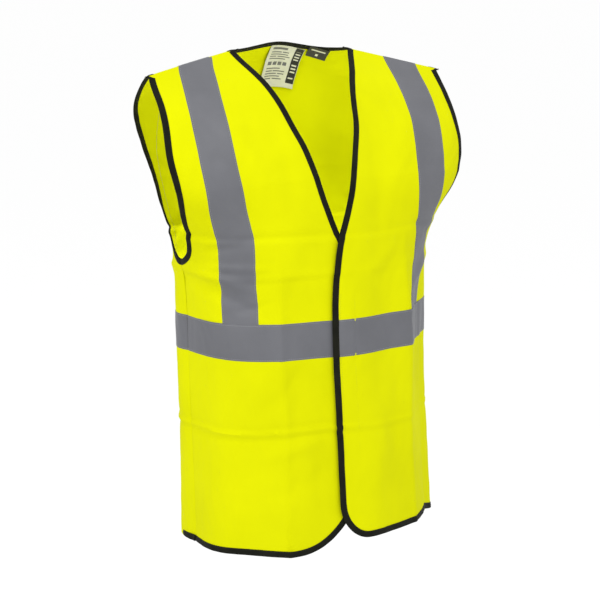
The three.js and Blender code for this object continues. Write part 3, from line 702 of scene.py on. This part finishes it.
def stitches_object(name, rows, material):
    """rows are (centres, along, normals) of seams; all of them make one object."""
    points = np.concatenate([stitch_points(*row) for row in rows])
    count = len(points)
    per = len(CAPSULE_RINGS) * CAPSULE_SIDES
    tube = grid_quads(len(CAPSULE_RINGS), CAPSULE_SIDES)
    last = (len(CAPSULE_RINGS) - 1) * CAPSULE_SIDES
    start = np.array([[0, 3, 2, 1], [0, 5, 4, 3]])
    one = np.concatenate([tube, start, last + start[:, [0, 3, 2, 1]]])
    quads = (one[None] + np.arange(count)[:, None, None] * per).reshape(-1, 4)
    return make_object(name, points.reshape(-1, 3), quads, material)


def seam_row(spots, height, lifted=False, closed=False, over=None):
    """Stitch places along spots at a height over the cloth; negative is the inside face."""
    spots = resampled(spots, STITCH_PITCH, closed, lifted)
    point, normal, _, _ = surface(spots, lifted)
    along = np.roll(point, -1, axis=0) - np.roll(point, 1, axis=0)
    if not closed:
        along = np.gradient(point, axis=0)
    if over is not None and height > 0:
        point = point + normal * over(spots)[:, None]
    return point + normal * height, unit(along), normal * (1 if height > 0 else -1)


# ---------------------------------------------------------------- materials
YELLOW = [(0.58, 0.60, 0.0), (0.62, 0.64, 0.0)]
TAPE_GREY = [(0.108, 0.110, 0.122), (0.122, 0.124, 0.137)]
BLACK = [(0.005, 0.0055, 0.003), (0.009, 0.0095, 0.005)]
STRIP_YELLOW = [(0.42, 0.44, 0.01), (0.52, 0.54, 0.01)]
COLOUR_SPREAD = (0.35, 0.65)  # noise levels of the two colours
WALE, COURSE = 1.3, 1.0  # the knit's pitch across and down
RIB, RIB_ACROSS = 0.9, 0.7  # the binding's, along and across
RIBBON, RIBBON_DOWN = 0.5, 0.4  # the labels', across and down


def material_base(name, roughness, specular=0.3, sheen=0.0):
    material = bpy.data.materials.new(name)
    material.use_nodes = True
    shader = material.node_tree.nodes["Principled BSDF"]
    shader.inputs["Roughness"].default_value = roughness
    shader.inputs["Specular IOR Level"].default_value = specular
    shader.inputs["Sheen Weight"].default_value = sheen
    shader.inputs["Sheen Roughness"].default_value = 0.4
    return material, material.node_tree, shader


def node(tree, kind, inputs=None, **settings):
    made = tree.nodes.new(kind)
    for key, value in settings.items():
        setattr(made, key, value)
    for key, value in (inputs or {}).items():
        if isinstance(value, bpy.types.NodeSocket):
            tree.links.new(value, made.inputs[key])
        else:
            made.inputs[key].default_value = value
    return made


def maths(tree, operation, first, second=0.0):
    return node(tree, "ShaderNodeMath", {0: first, 1: second}, operation=operation).outputs[0]


def varied_colour(tree, shader, colours, scale):
    """Base colour that drifts between colours over the surface."""
    place = node(tree, "ShaderNodeTexCoord").outputs["Object"]
    noise = node(tree, "ShaderNodeTexNoise", {"Vector": place, "Scale": scale, "Detail": 4.0})
    ramp = node(tree, "ShaderNodeValToRGB", {"Fac": noise.outputs["Fac"]})
    for stop, position, colour in zip(ramp.color_ramp.elements, COLOUR_SPREAD, colours):
        stop.position = position
        stop.color = (*colour, 1)
    tree.links.new(ramp.outputs["Color"], shader.inputs["Base Color"])
    return place


def bump(tree, shader, height, strength, distance):
    made = node(tree, "ShaderNodeBump", {"Height": height, "Strength": strength, "Distance": distance})
    tree.links.new(made.outputs["Normal"], shader.inputs["Normal"])


def flat_uv(tree):
    uv = node(tree, "ShaderNodeUVMap", uv_map="flat").outputs["UV"]
    split = node(tree, "ShaderNodeSeparateXYZ", {"Vector": uv})
    return split.outputs["X"], split.outputs["Y"]


def wave(tree, value, pitch):
    """A sine wave over a place on the flat cloth; the pitch is in millimetres."""
    return maths(tree, "SINE", maths(tree, "MULTIPLY", value, 2 * math.pi / (pitch * MM)))


def knit_material():
    """Warp knit: upright wales crossed by finer courses."""
    material, tree, shader = material_base("cloth", 0.9, 0.06, 0.0)
    varied_colour(tree, shader, YELLOW, 9.0)
    u, v = flat_uv(tree)
    loops = maths(tree, "MULTIPLY", wave(tree, u, WALE), wave(tree, v, COURSE))
    height = maths(tree, "ADD", loops, maths(tree, "MULTIPLY", wave(tree, u, WALE / 2), 0.4))
    bump(tree, shader, height, 0.35, 0.12 * MM)
    return material


def tape_material():
    """Reflective tape: grey glass-bead fabric with a satin sheen."""
    material, tree, shader = material_base("tape", 0.5, 0.3, 0.0)
    place = varied_colour(tree, shader, TAPE_GREY, 18.0)
    beads = node(tree, "ShaderNodeTexVoronoi", {"Vector": place, "Scale": 1400.0})
    bump(tree, shader, beads.outputs["Distance"], 0.25, 0.08 * MM)
    return material


def binding_material():
    """Black folded tape with a fine rib across it."""
    material, tree, shader = material_base("binding", 0.85, 0.12, 0.03)
    varied_colour(tree, shader, BLACK, 60.0)
    u, v = flat_uv(tree)
    ribs = maths(tree, "MULTIPLY", wave(tree, u, RIB_ACROSS), 0.6)
    height = maths(tree, "ADD", wave(tree, v, RIB), ribs)
    bump(tree, shader, height, 0.5, 0.12 * MM)
    return material


def strip_material():
    """Hook and loop tape: dense small loops."""
    material, tree, shader = material_base("strip", 0.95, 0.1, 0.3)
    place = varied_colour(tree, shader, STRIP_YELLOW, 900.0)
    loops = node(tree, "ShaderNodeTexVoronoi", {"Vector": place, "Scale": 900.0})
    bump(tree, shader, loops.outputs["Distance"], 0.8, 0.5 * MM)
    return material


def plain_material(name, colour, roughness=0.6, specular=0.3):
    material, _, shader = material_base(name, roughness, specular)
    shader.inputs["Base Color"].default_value = (*colour, 1)
    return material


def label_material(name, colours):
    """Woven satin ribbon."""
    material, tree, shader = material_base(name, 0.6, 0.3)
    place = varied_colour(tree, shader, colours, 60.0)
    u, v = flat_uv(tree)
    height = maths(tree, "ADD", wave(tree, u, RIBBON), wave(tree, v, RIBBON_DOWN))
    bump(tree, shader, height, 0.2, 0.05 * MM)
    return material


materials = {
    "cloth": knit_material(),
    "tape": tape_material(),
    "binding": binding_material(),
    "strip": strip_material(),
    "care_label": label_material("care_label", [(0.50, 0.50, 0.44), (0.56, 0.56, 0.50)]),
    "size_label": label_material("size_label", [(0.012, 0.012, 0.014), (0.02, 0.02, 0.022)]),
    "print_grey": plain_material("print_grey", (0.12, 0.12, 0.13)),
    "black_thread": plain_material("black_thread", (0.014, 0.014, 0.010)),
    "grey_thread": plain_material("grey_thread", (0.26, 0.265, 0.28)),
    "yellow_thread": plain_material("yellow_thread", (0.50, 0.52, 0.0)),
}

# ---------------------------------------------------------------- pieces
BINDING_STEP = 1.6
CLOTH_ROWS = 230
FRONT_COLUMNS = 80
BACK_COLUMNS = 150
# Outer face of half a tape: distance in from its edge, height.
TAPE_HALF = np.array([
    [0, 0.52], [0.25, 0.7], [0.9, 0.78], [1.5, 0.72], [2.0, 0.58], [2.5, 0.72], [3.2, 0.8],
    [5, 0.84], [8, 0.86], [12, 0.86], [16, 0.86], [20.5, 0.86], [TAPE_WIDTH / 2, 0.86],
], float)
TAPE_BACK = 0.38  # height of a tape's back face
SEAM_IN = 2.0  # a tape's seams, in from its edges
SEAM_HEIGHT = 0.62  # height of a tape's stitches
BRACE_END = BAND_TOP + 8.0  # the brace tapes end under the waist band
BAND_START = 3.0  # the waist band starts this far inside a front edge
BAND_LIFT = 0.55  # the waist band steps over the brace tapes
BAND_SLOPE = (1.0, 7.0)  # and comes down again between these distances past their edges
BAND_EDGE = 2.0  # a binding steps up at the band's edges over this distance
BAND_GAP = 0.003  # angle between the bands at the side seam
BAND_COUNT = 280  # columns of a band
BRACE_COUNT = 180  # rows of a brace tape
STITCH_UNDER = 0.38  # depth of the stitches on the cloth's inside
STRIP_OVER_BAND = 1.3  # the loop strip rises this share of the band's own rise
STRIP_GRID = (111, 14)  # rows and columns of a closure strip
THREAD_PROUD = 0.03  # the hook strip's seams stand this far out of the front
THREAD_SUNK = 0.05  # the loop strip's seams lie this deep in it
SEAM_WIDTH = 10.0  # width of the side seams' allowances
SEAM_START = 0.3  # they start this far off the seam
SEAM_INSET = 14.0  # the allowances stop this far short of the bindings
SHOULDER_SEAM = 225.0  # the shoulder seam's end, from the centre line
SHOULDER_SEAM_FALL = 1.4  # the shoulder allowance reaches this far below the ridge
# Faces of the seam allowances, the hook strip and the loop strip, out from the cloth's middle.
ALLOWANCE = (-1.25, -0.55)
HOOK = (-1.35, -0.45)
LOOP = (0.45, 1.35)
STITCH_FACE = 0.9  # height of the stitches on a binding
NECK_LAP = 5  # steps of the back neck's binding that lap over the ridge
# Lines about which the fronts fold open.
FOLD_LINES = {
    "left": ((23, -157, -200), (140, -168, -683)),
    "right": ((-16, -158.5, -225), (-110, -177.5, -683)),
}


def side_of(which):
    return which == "left", SIDES[which]


def to_front(obj, which):
    """A front's piece gets its transform baked into its mesh; the fold line's axis is worked out here but
    not applied.
    """
    top, bottom = (np.array(end, float) for end in FOLD_LINES[which])
    along = bottom - top
    across = unit(np.array([along[2], 0, -along[0]])) * SIDES[which]
    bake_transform(obj)


def stands_for(obj, slot, *nodes):
    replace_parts(obj, *nodes)
    return obj


def tape_profile():
    """Distances from one edge of a tape to the other, and the heights there."""
    other = TAPE_HALF[:-1][::-1] * [-1, 1] + [TAPE_WIDTH, 0]
    profile = np.concatenate([TAPE_HALF, other])
    return profile[:, 0], profile[:, 1]


def level_spots(path, distances):
    """Rows around the rings from a path, so wide that a tape keeps its width across."""
    point, _, around, _ = surface(path)
    along = unit(np.gradient(point, axis=0))
    share = np.linalg.norm(np.cross(along, unit(around)), axis=-1)

    def advance(spots, step):
        count = max(int(math.ceil(abs(step) / WALK)), 1)
        for _ in range(count):
            size = np.linalg.norm(surface(spots)[2], axis=-1)
            turn = step / count / share / size
            spots = spots + np.stack([turn, 0 * turn], -1)
        return spots

    return spread_out(path, distances, advance)


def brace_spots(which, back):
    drops = np.linspace(0, 1, BRACE_COUNT)**CROWDING * BRACE_END
    table = BRACE[f"{which}_back" if back else which]
    angles = angle_at(SIDES[which] * through(table, drops), drops, back)
    return np.stack([angles, np.maximum(way_at(drops), TOP_WAY)], -1)


def make_brace(which, back):
    name = f"{which}_{'back' if back else 'front'}_brace_tape"
    distances, heights = tape_profile()
    path = brace_spots(which, back)
    spots = level_spots(path, list(distances - TAPE_WIDTH / 2))
    obj = sheet_object(name, spots, (TAPE_BACK, heights), materials["tape"])
    stands_for(obj, "tape", name)
    seams = level_spots(path, [SEAM_IN - TAPE_WIDTH / 2, TAPE_WIDTH / 2 - SEAM_IN])
    rows = [seam_row(seams[:, k], SEAM_HEIGHT) for k in (0, 1)]
    if back:
        rows += [seam_row(seams[:, k], -STITCH_UNDER) for k in (0, 1)]
    return obj, rows


def over_brace(spots, back):
    """1 where the waist band lies on the ends of the brace tapes."""
    drop = drop_at(spots[..., 1])
    x = base(spots[..., 0], spots[..., 1])[..., 0]
    out = np.zeros_like(x)
    for which, sign in SIDES.items():
        middle = sign * through(BRACE[f"{which}_back" if back else which], BAND_TOP)
        apart = np.abs(x - middle) - TAPE_WIDTH / 2
        below = smooth(0, BAND_SLOPE[1] - BAND_SLOPE[0], drop - BRACE_END)
        out += (1 - smooth(*BAND_SLOPE, apart)) * (1 - below)
    return out


def band_object(name, angles_at, back=False, lifted=False):
    """The waist band over spots (angle, way); its grid runs along, then down."""
    distances, heights = tape_profile()
    ways = way_at(BAND_TOP + distances)
    spots = np.stack([np.stack([angles_at(way), np.full(BAND_COUNT, way)], -1) for way in ways], 1)
    spots = wrapped(spots)
    lift = BAND_LIFT * over_brace(spots, back)
    offsets = (TAPE_BACK + lift, heights[None, :] + lift)
    obj = sheet_object(name, spots, offsets, materials["tape"], lifted)
    rows = []
    for drop in (BAND_TOP + SEAM_IN, BAND_TOP + TAPE_WIDTH - SEAM_IN):
        way = float(way_at(drop))
        seam = wrapped(np.stack([angles_at(way), np.full(BAND_COUNT, way)], -1))
        rows.append(seam_row(seam, SEAM_HEIGHT, lifted, over=lambda at: BAND_LIFT * over_brace(at, back)))
        if back:
            rows.append(seam_row(seam, -STITCH_UNDER))
    return obj, rows


def make_front_band(which):
    lifted, sign = side_of(which)
    front = fronts[which]

    def angles_at(way):
        drop = drop_at(way)
        start = angle_at(through(FRONT_EDGE, drop) + BAND_START, drop)
        return sign * np.linspace(float(start), SIDE - BAND_GAP, BAND_COUNT)

    obj, rows = band_object(f"{which}_front_band", angles_at, lifted=lifted)
    stands_for(obj, "tape", f"{which}_front_band", f"{which}_side_band")
    return obj, rows


def make_back_band():
    def angles_at(way):
        return np.linspace(SIDE + BAND_GAP, 2 * math.pi - SIDE - BAND_GAP, BAND_COUNT)

    obj, rows = band_object("back_band", angles_at, back=True)
    return stands_for(obj, "tape", "back_band"), rows


def binding_rows(path, closed=False, lifted=False, sign=1, over=None):
    spots = walked(path, inward_at(path, closed, lifted, sign), STITCH_IN, lifted)
    return [seam_row(spots, height, lifted, closed, over) for height in (STITCH_FACE, -STITCH_FACE)]


def over_band(spots):
    """How far a front's binding is raised where it covers the waist band."""
    drop = drop_at(spots[..., 1])
    start, end = BAND_TOP, BAND_TOP + TAPE_WIDTH
    down = smooth(end, end + BAND_EDGE, drop)
    return BAND_LIFT * smooth(start - BAND_EDGE, start, drop) * (1 - down)


def make_front_binding(which):
    lifted, sign = side_of(which)
    path = resampled(fronts[which].path, BINDING_STEP, lifted=lifted)
    name = f"{which}_front_binding"
    obj = binding_object(name, path, materials["binding"], lifted=lifted, sign=sign, over=over_band)
    nodes = [f"{which}_{part}_binding" for part in ("neck", "front_edge", "hem")]
    return stands_for(obj, "binding", *nodes), binding_rows(path, lifted=lifted, sign=sign, over=over_band)


def make_armhole(which):
    path = resampled(armhole_path * [SIDES[which], 1], BINDING_STEP, closed=True)
    name = f"{which}_armhole_binding"
    obj = binding_object(name, path, materials["binding"], closed=True, sign=-SIDES[which])
    return stands_for(obj, "binding", name), binding_rows(path, closed=True, sign=-SIDES[which])


def over_ridge(which):
    """The top of a front's neck edge, where the back's binding laps over the ridge."""
    return resampled(fronts[which].path, BINDING_STEP)[1:NECK_LAP]


def make_back_bindings():
    hem = np.linspace(SIDE, 2 * math.pi - SIDE, BACK_HEM_COUNT)
    low = np.full(hem.shape, float(way_at(HEM_DROP)))
    made, rows = [], []
    paths = (("back_hem_binding", np.stack([hem, low], -1), 1), ("back_neck_binding", nape_path, -1))
    for name, path, sign in paths:
        path = resampled(path, BINDING_STEP)
        rows += binding_rows(path, sign=sign)
        if path[0, 1] < 1:
            path = np.concatenate([over_ridge("left")[::-1], path, over_ridge("right")])
        obj = binding_object(name, path, materials["binding"], sign=sign)
        made.append(stands_for(obj, "binding", name))
    return made, rows


def make_front_cloth(which):
    lifted, _ = side_of(which)
    grid = front_grid(fronts[which], CLOTH_ROWS, FRONT_COLUMNS)
    obj = sheet_object(f"{which}_front_cloth", grid, CLOTH, materials["cloth"], lifted)
    return stands_for(obj, "cloth", f"{which}_front_panel", f"{which}_front_flap")


def make_back_cloth():
    obj = sheet_object("back_cloth", back_grid(CLOTH_ROWS, BACK_COLUMNS), CLOTH, materials["cloth"])
    return stands_for(obj, "cloth", "back_panel")


def make_strip(which, width, offsets):
    """Hook strip inside the left front, loop strip outside the right one."""
    lifted, sign = side_of(which)
    rows, columns = STRIP_GRID
    drops = np.linspace(STRIP_FROM, STRIP_TO, rows)
    edge = fronts[which].spots(through(FRONT_EDGE, drops), drops)
    spots = strip_spots(edge, list(STRIP_SETBACK + np.linspace(0, width, columns)), lifted, sign)
    lift = STRIP_OVER_BAND * over_band(spots) if offsets[0] > 0 else 0
    name = {"left": "hook_strip", "right": "loop_strip"}[which]
    obj = sheet_object(name, spots, (offsets[0] + lift, offsets[1] + lift), materials["strip"], lifted)
    stands_for(obj, "strip", name)
    ends = [STRIP_SETBACK + STRIP_SEAM_IN, STRIP_SETBACK + width - STRIP_SEAM_IN]
    seams = strip_spots(edge, ends, lifted, sign)
    height = CLOTH[1] + THREAD_PROUD if which == "left" else offsets[1] - THREAD_SUNK
    over = None if which == "left" else (lambda at: STRIP_OVER_BAND * over_band(at))
    return obj, [seam_row(seams[:, k], height, lifted, over=over) for k in (0, 1)]


def make_seams(which):
    sign = SIDES[which]
    across = np.linspace(NECK_HALF + SEAM_INSET, SHOULDER_SEAM - SEAM_INSET, 60)
    down = np.linspace(0, SHOULDER_SEAM_FALL, 7)
    xs, drops = np.meshgrid(sign * across, down)
    shoulder = wrapped(np.stack([angle_at(xs, drops, back=True), way_at(drops)], -1))
    name = f"{which}_shoulder_seam"
    made = [stands_for(sheet_object(name, shoulder, ALLOWANCE, materials["cloth"]), "cloth", name)]
    drops = np.linspace(ARMHOLE_DROP + SEAM_INSET, HEM_DROP - SEAM_INSET, 160)
    path = np.stack([np.full(drops.shape, sign * (SIDE - BAND_GAP)), way_at(drops)], -1)
    side = strip_spots(path, list(np.linspace(SEAM_START, SEAM_WIDTH, 6)), sign=-sign)
    name = f"{which}_side_seam"
    made.append(stands_for(sheet_object(name, side, ALLOWANCE, materials["cloth"]), "cloth", name))
    return made


# Labels inside the back: width, height, middle x at the top, tilt, first spot down, lift.
LABELS = {
    "care_label": (54.0, 67.0, 19.0, 9.0, 7.0, (0.9, 3.4)),
    "size_label": (31.0, 23.0, 62.5, 0.0, 0.0, (2.2, 2.9)),
}
LABEL_THICK = 0.28
PRINT_THICK = 0.04
LABEL_STEP = 2.0  # distance between the known ways down along a label
HANG_REACH = 16.0  # a label hangs out fully this far below its top
LABEL_WAVE = (0.5, 15.0)  # height of its waves, and the distance for one radian
LABEL_BOW = 0.8  # how far its side edges curl out
BOW_RANGE = (10.0, 50.0)  # the curl grows between these distances from the top
LABEL_BEND = (1.0, 15.0)  # it bends between these distances from the top when lifted
LABEL_GRID = (28, 40)  # columns and rows
PRINT_CELL = 4.0  # size of a printed spot's cells


def label_path(name):
    """Ways down at every LABEL_STEP along the label's middle, from the neck's edge."""
    _, height, x, _, start, _ = LABELS[name]
    top = float(angle_at(x, NAPE_DROP, back=True))
    spot = np.array([top, float(np.interp(top, nape_path[:, 0], nape_path[:, 1]))])
    down = unit(surface(spot)[3])
    ways = [spot[1]]
    for _ in range(int((height + start) / LABEL_STEP) + 1):
        spot = walked(spot, down, LABEL_STEP)
        ways.append(spot[1])
    return np.array(ways)


label_ways = {name: label_path(name) for name in LABELS}


def label_spots(name, across, fallen):
    """Spots of a label at places across (from its middle) and down from its top."""
    _, _, x, tilt, start, _ = LABELS[name]
    known = label_ways[name]
    distance = (fallen + start)[:, None]
    ways = np.interp(distance, np.arange(len(known)) * LABEL_STEP, known) + 0 * across
    xs = x - math.tan(math.radians(tilt)) * distance + across
    return np.stack([angle_at(xs, drop_at(ways), back=True), ways], -1)


def label_sheet(name, suffix, across, fallen, thick, lift, material):
    width, (near, far) = LABELS[name][0], LABELS[name][5]
    spots = label_spots(name, across, fallen)
    height, reach = LABEL_WAVE
    hang = near + (far - near) * smooth(0, HANG_REACH, fallen) + height * np.sin(fallen / reach)
    bow = LABEL_BOW * (across / width * 2)**2 * smooth(*BOW_RANGE, fallen)[:, None]
    inside = -(hang[:, None] + bow) - lift
    return sheet_object(name + suffix, spots, (inside - thick, inside), material)


# Printing on the labels: left and right edge from the middle, top and bottom.
CARE_PRINT = [
    (-22, 2, 4, 7.5), (-22, -6, 11, 12.6), (-4, 6, 11, 12.6), (-22, 6, 15, 16.6), (-22, -12, 19, 20.6),
    (-10, 10, 19, 20.6), (-22, 4, 23, 24.6), (-22, -16, 29, 34), (-14, -8, 29, 34), (-6, 0, 29, 34),
    (2, 8, 29, 34), (-22, 0, 38, 39.6), (-22, 8, 42, 43.6), (-22, -4, 46, 47.6), (-2, 8, 46, 47.6),
    (-22, 2, 50, 51.6), (-22, 6, 54, 55.6),
]
CARE_STRIPE = (14, 26.5, 0.4, 59.6)
STRIPE_MARKS = [(16.5, 24, top, top + 2.2) for top in (5, 10, 15, 20, 30, 35, 40, 50)]
SIZE_MARKS = [(-11, 11, 6, 8.5), (-2, 2, 14, 18.5)]
# Label, its printed spots, their material and the layer they are printed in.
PRINTS = [
    ("care_label", CARE_PRINT, "print_grey", 0),
    ("care_label", [CARE_STRIPE], "size_label", 1),
    ("care_label", STRIPE_MARKS, "care_label", 2),
    ("size_label", SIZE_MARKS, "care_label", 1),
]


def printed(name, index, spot, material, layer):
    left, right, top, bottom = spot
    across = np.linspace(left, right, 4 + int((right - left) / PRINT_CELL))
    fallen = np.linspace(top, bottom, 3 + int((bottom - top) / PRINT_CELL))
    lift = LABEL_THICK + PRINT_THICK * max(layer - 1, 0)
    suffix = f"_spot_{layer}_{index}"
    return label_sheet(name, suffix, across, fallen, PRINT_THICK, lift, materials[material])


def to_label(obj, name):
    """A label's piece gets its transform baked into its mesh; the spots where it would bend are worked out
    here but not applied.
    """
    ends = surface(label_spots(name, np.zeros(1), np.array(LABEL_BEND)))[0][:, 0]
    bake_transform(obj)


def joined(name, objs):
    """One object of several that share a material."""
    shell = bmesh.new()
    for obj in objs:
        shell.from_mesh(obj.data)
    shell.to_mesh(objs[0].data)
    shell.free()
    for obj in objs[1:]:
        bpy.data.objects.remove(obj)
    objs[0].name = name
    return objs[0]


def make_labels():
    columns, rows = LABEL_GRID
    for name, (width, height, *_) in LABELS.items():
        across = np.linspace(-width / 2, width / 2, columns)
        fallen = np.linspace(0, height, rows)
        obj = label_sheet(name, "_sheet", across, fallen, LABEL_THICK, 0, materials[name])
        to_label(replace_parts(obj, name), name)
    for label, spots, material, layer in PRINTS:
        prints = [printed(label, index, spot, material, layer) for index, spot in enumerate(spots)]
        to_label(joined(f"{label}_print_{layer}", prints), label)


def sewn(part, rows, colour):
    return stitches_object(f"{part}_stitches", rows, materials[f"{colour}_thread"])


def declare(pieces):
    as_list(pieces)


def make_front(which):
    cloth = make_front_cloth(which)
    binding, black = make_front_binding(which)
    band, grey = make_front_band(which)
    brace, brace_rows = make_brace(which, back=False)
    width, offsets = {"left": (HOOK_WIDTH, HOOK), "right": (LOOP_WIDTH, LOOP)}[which]
    strip, yellow = make_strip(which, width, offsets)
    seams = (("binding", black, "black"), ("band", grey, "grey"), ("strip", yellow, "yellow"))
    threads = [sewn(f"{which}_{part}", rows, colour) for part, rows, colour in seams]
    still = [brace, sewn(f"{which}_brace", brace_rows, "grey")]
    for obj in [cloth, binding, band, strip, *threads]:
        to_front(obj, which)
    for obj in still:
        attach(obj, "vest")
    declare([binding, band, strip, *threads, *still])


def make_back():
    cloth = make_back_cloth()
    pieces, black = make_back_bindings()
    band, grey = make_back_band()
    pieces.append(band)
    for which in SIDES:
        brace, rows = make_brace(which, back=True)
        armhole, edge_rows = make_armhole(which)
        pieces += [brace, armhole, *make_seams(which)]
        grey += rows
        black += edge_rows
    pieces += [sewn("back_binding", black, "black"), sewn("back_tape", grey, "grey")]
    for obj in [cloth, *pieces]:
        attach(obj, "vest")
    declare(pieces)


for which in SIDES:
    make_front(which)
make_back()
make_labels()

# ---------------------------------------------------------------- stage, light, camera
TARGET = Vector((6.0, -18.0, -359.0)) * MM
CAMERA_TURN = math.radians(-28)
CAMERA_RISE = math.radians(11.2)
CAMERA_DISTANCE = 2.290
LENS = 94.8
FLOOR_Z = -1.6  # the floor's height and half size, in metres
FLOOR_HALF = 400.0
SENSOR = 36.0
CLIP_END = 1000.0
WORLD_STRENGTH = 1.04
# Lamps, in metres and watts: name, place, size, power. The inside one shines up at the neck.
LAMPS = [
    ("key", (-2.2, -1.3, 1.2), 0.9, 26),
    ("front", (0.0, -1.7, 1.9), 0.9, 18),
    ("inside", (0.0, -0.055, -0.60), 0.14, 1.5),
]


def make_camera():
    camera = bpy.data.objects.new("camera", bpy.data.cameras.new("camera"))
    bpy.context.scene.collection.objects.link(camera)
    level_back = Vector((math.sin(CAMERA_TURN), -math.cos(CAMERA_TURN), 0)) * math.cos(CAMERA_RISE)
    back = level_back + Vector((0, 0, math.sin(CAMERA_RISE)))
    camera.location = TARGET + back * CAMERA_DISTANCE
    camera.rotation_euler = back.to_track_quat("Z", "Y").to_euler()
    camera.data.lens = LENS
    camera.data.sensor_width = SENSOR
    camera.data.clip_end = CLIP_END
    bpy.context.scene.camera = camera


def make_floor():
    mesh = bpy.data.meshes.new("floor")
    corners = [(-1, -1), (1, -1), (1, 1), (-1, 1)]
    mesh.from_pydata([(x * FLOOR_HALF, y * FLOOR_HALF, FLOOR_Z) for x, y in corners], [], [(0, 1, 2, 3)])
    mesh.materials.append(plain_material("floor", (0.95, 0.95, 0.95), 0.95, 0.0))
    floor = bpy.data.objects.new("floor", mesh)
    bpy.context.scene.collection.objects.link(floor)


def make_world(strength):
    world = bpy.data.worlds.new("studio")
    world.use_nodes = True
    background = world.node_tree.nodes["Background"]
    background.inputs["Color"].default_value = (1, 1, 1, 1)
    background.inputs["Strength"].default_value = strength
    bpy.context.scene.world = world


def area_light(name, place, size, power):
    light = bpy.data.objects.new(name, bpy.data.lights.new(name, "AREA"))
    light.data.size = size
    light.data.energy = power
    light.location = place
    light.rotation_euler = (Vector(place) - TARGET).to_track_quat("Z", "Y").to_euler()
    bpy.context.scene.collection.objects.link(light)
    return light


make_camera()
make_floor()
make_world(WORLD_STRENGTH)
lamps = {name: area_light(name, place, size, power) for name, place, size, power in LAMPS}
lamps["inside"].rotation_euler = (math.pi, 0, 0)
lamps["inside"].visible_camera = False
bpy.context.scene.view_settings.view_transform = "Standard"
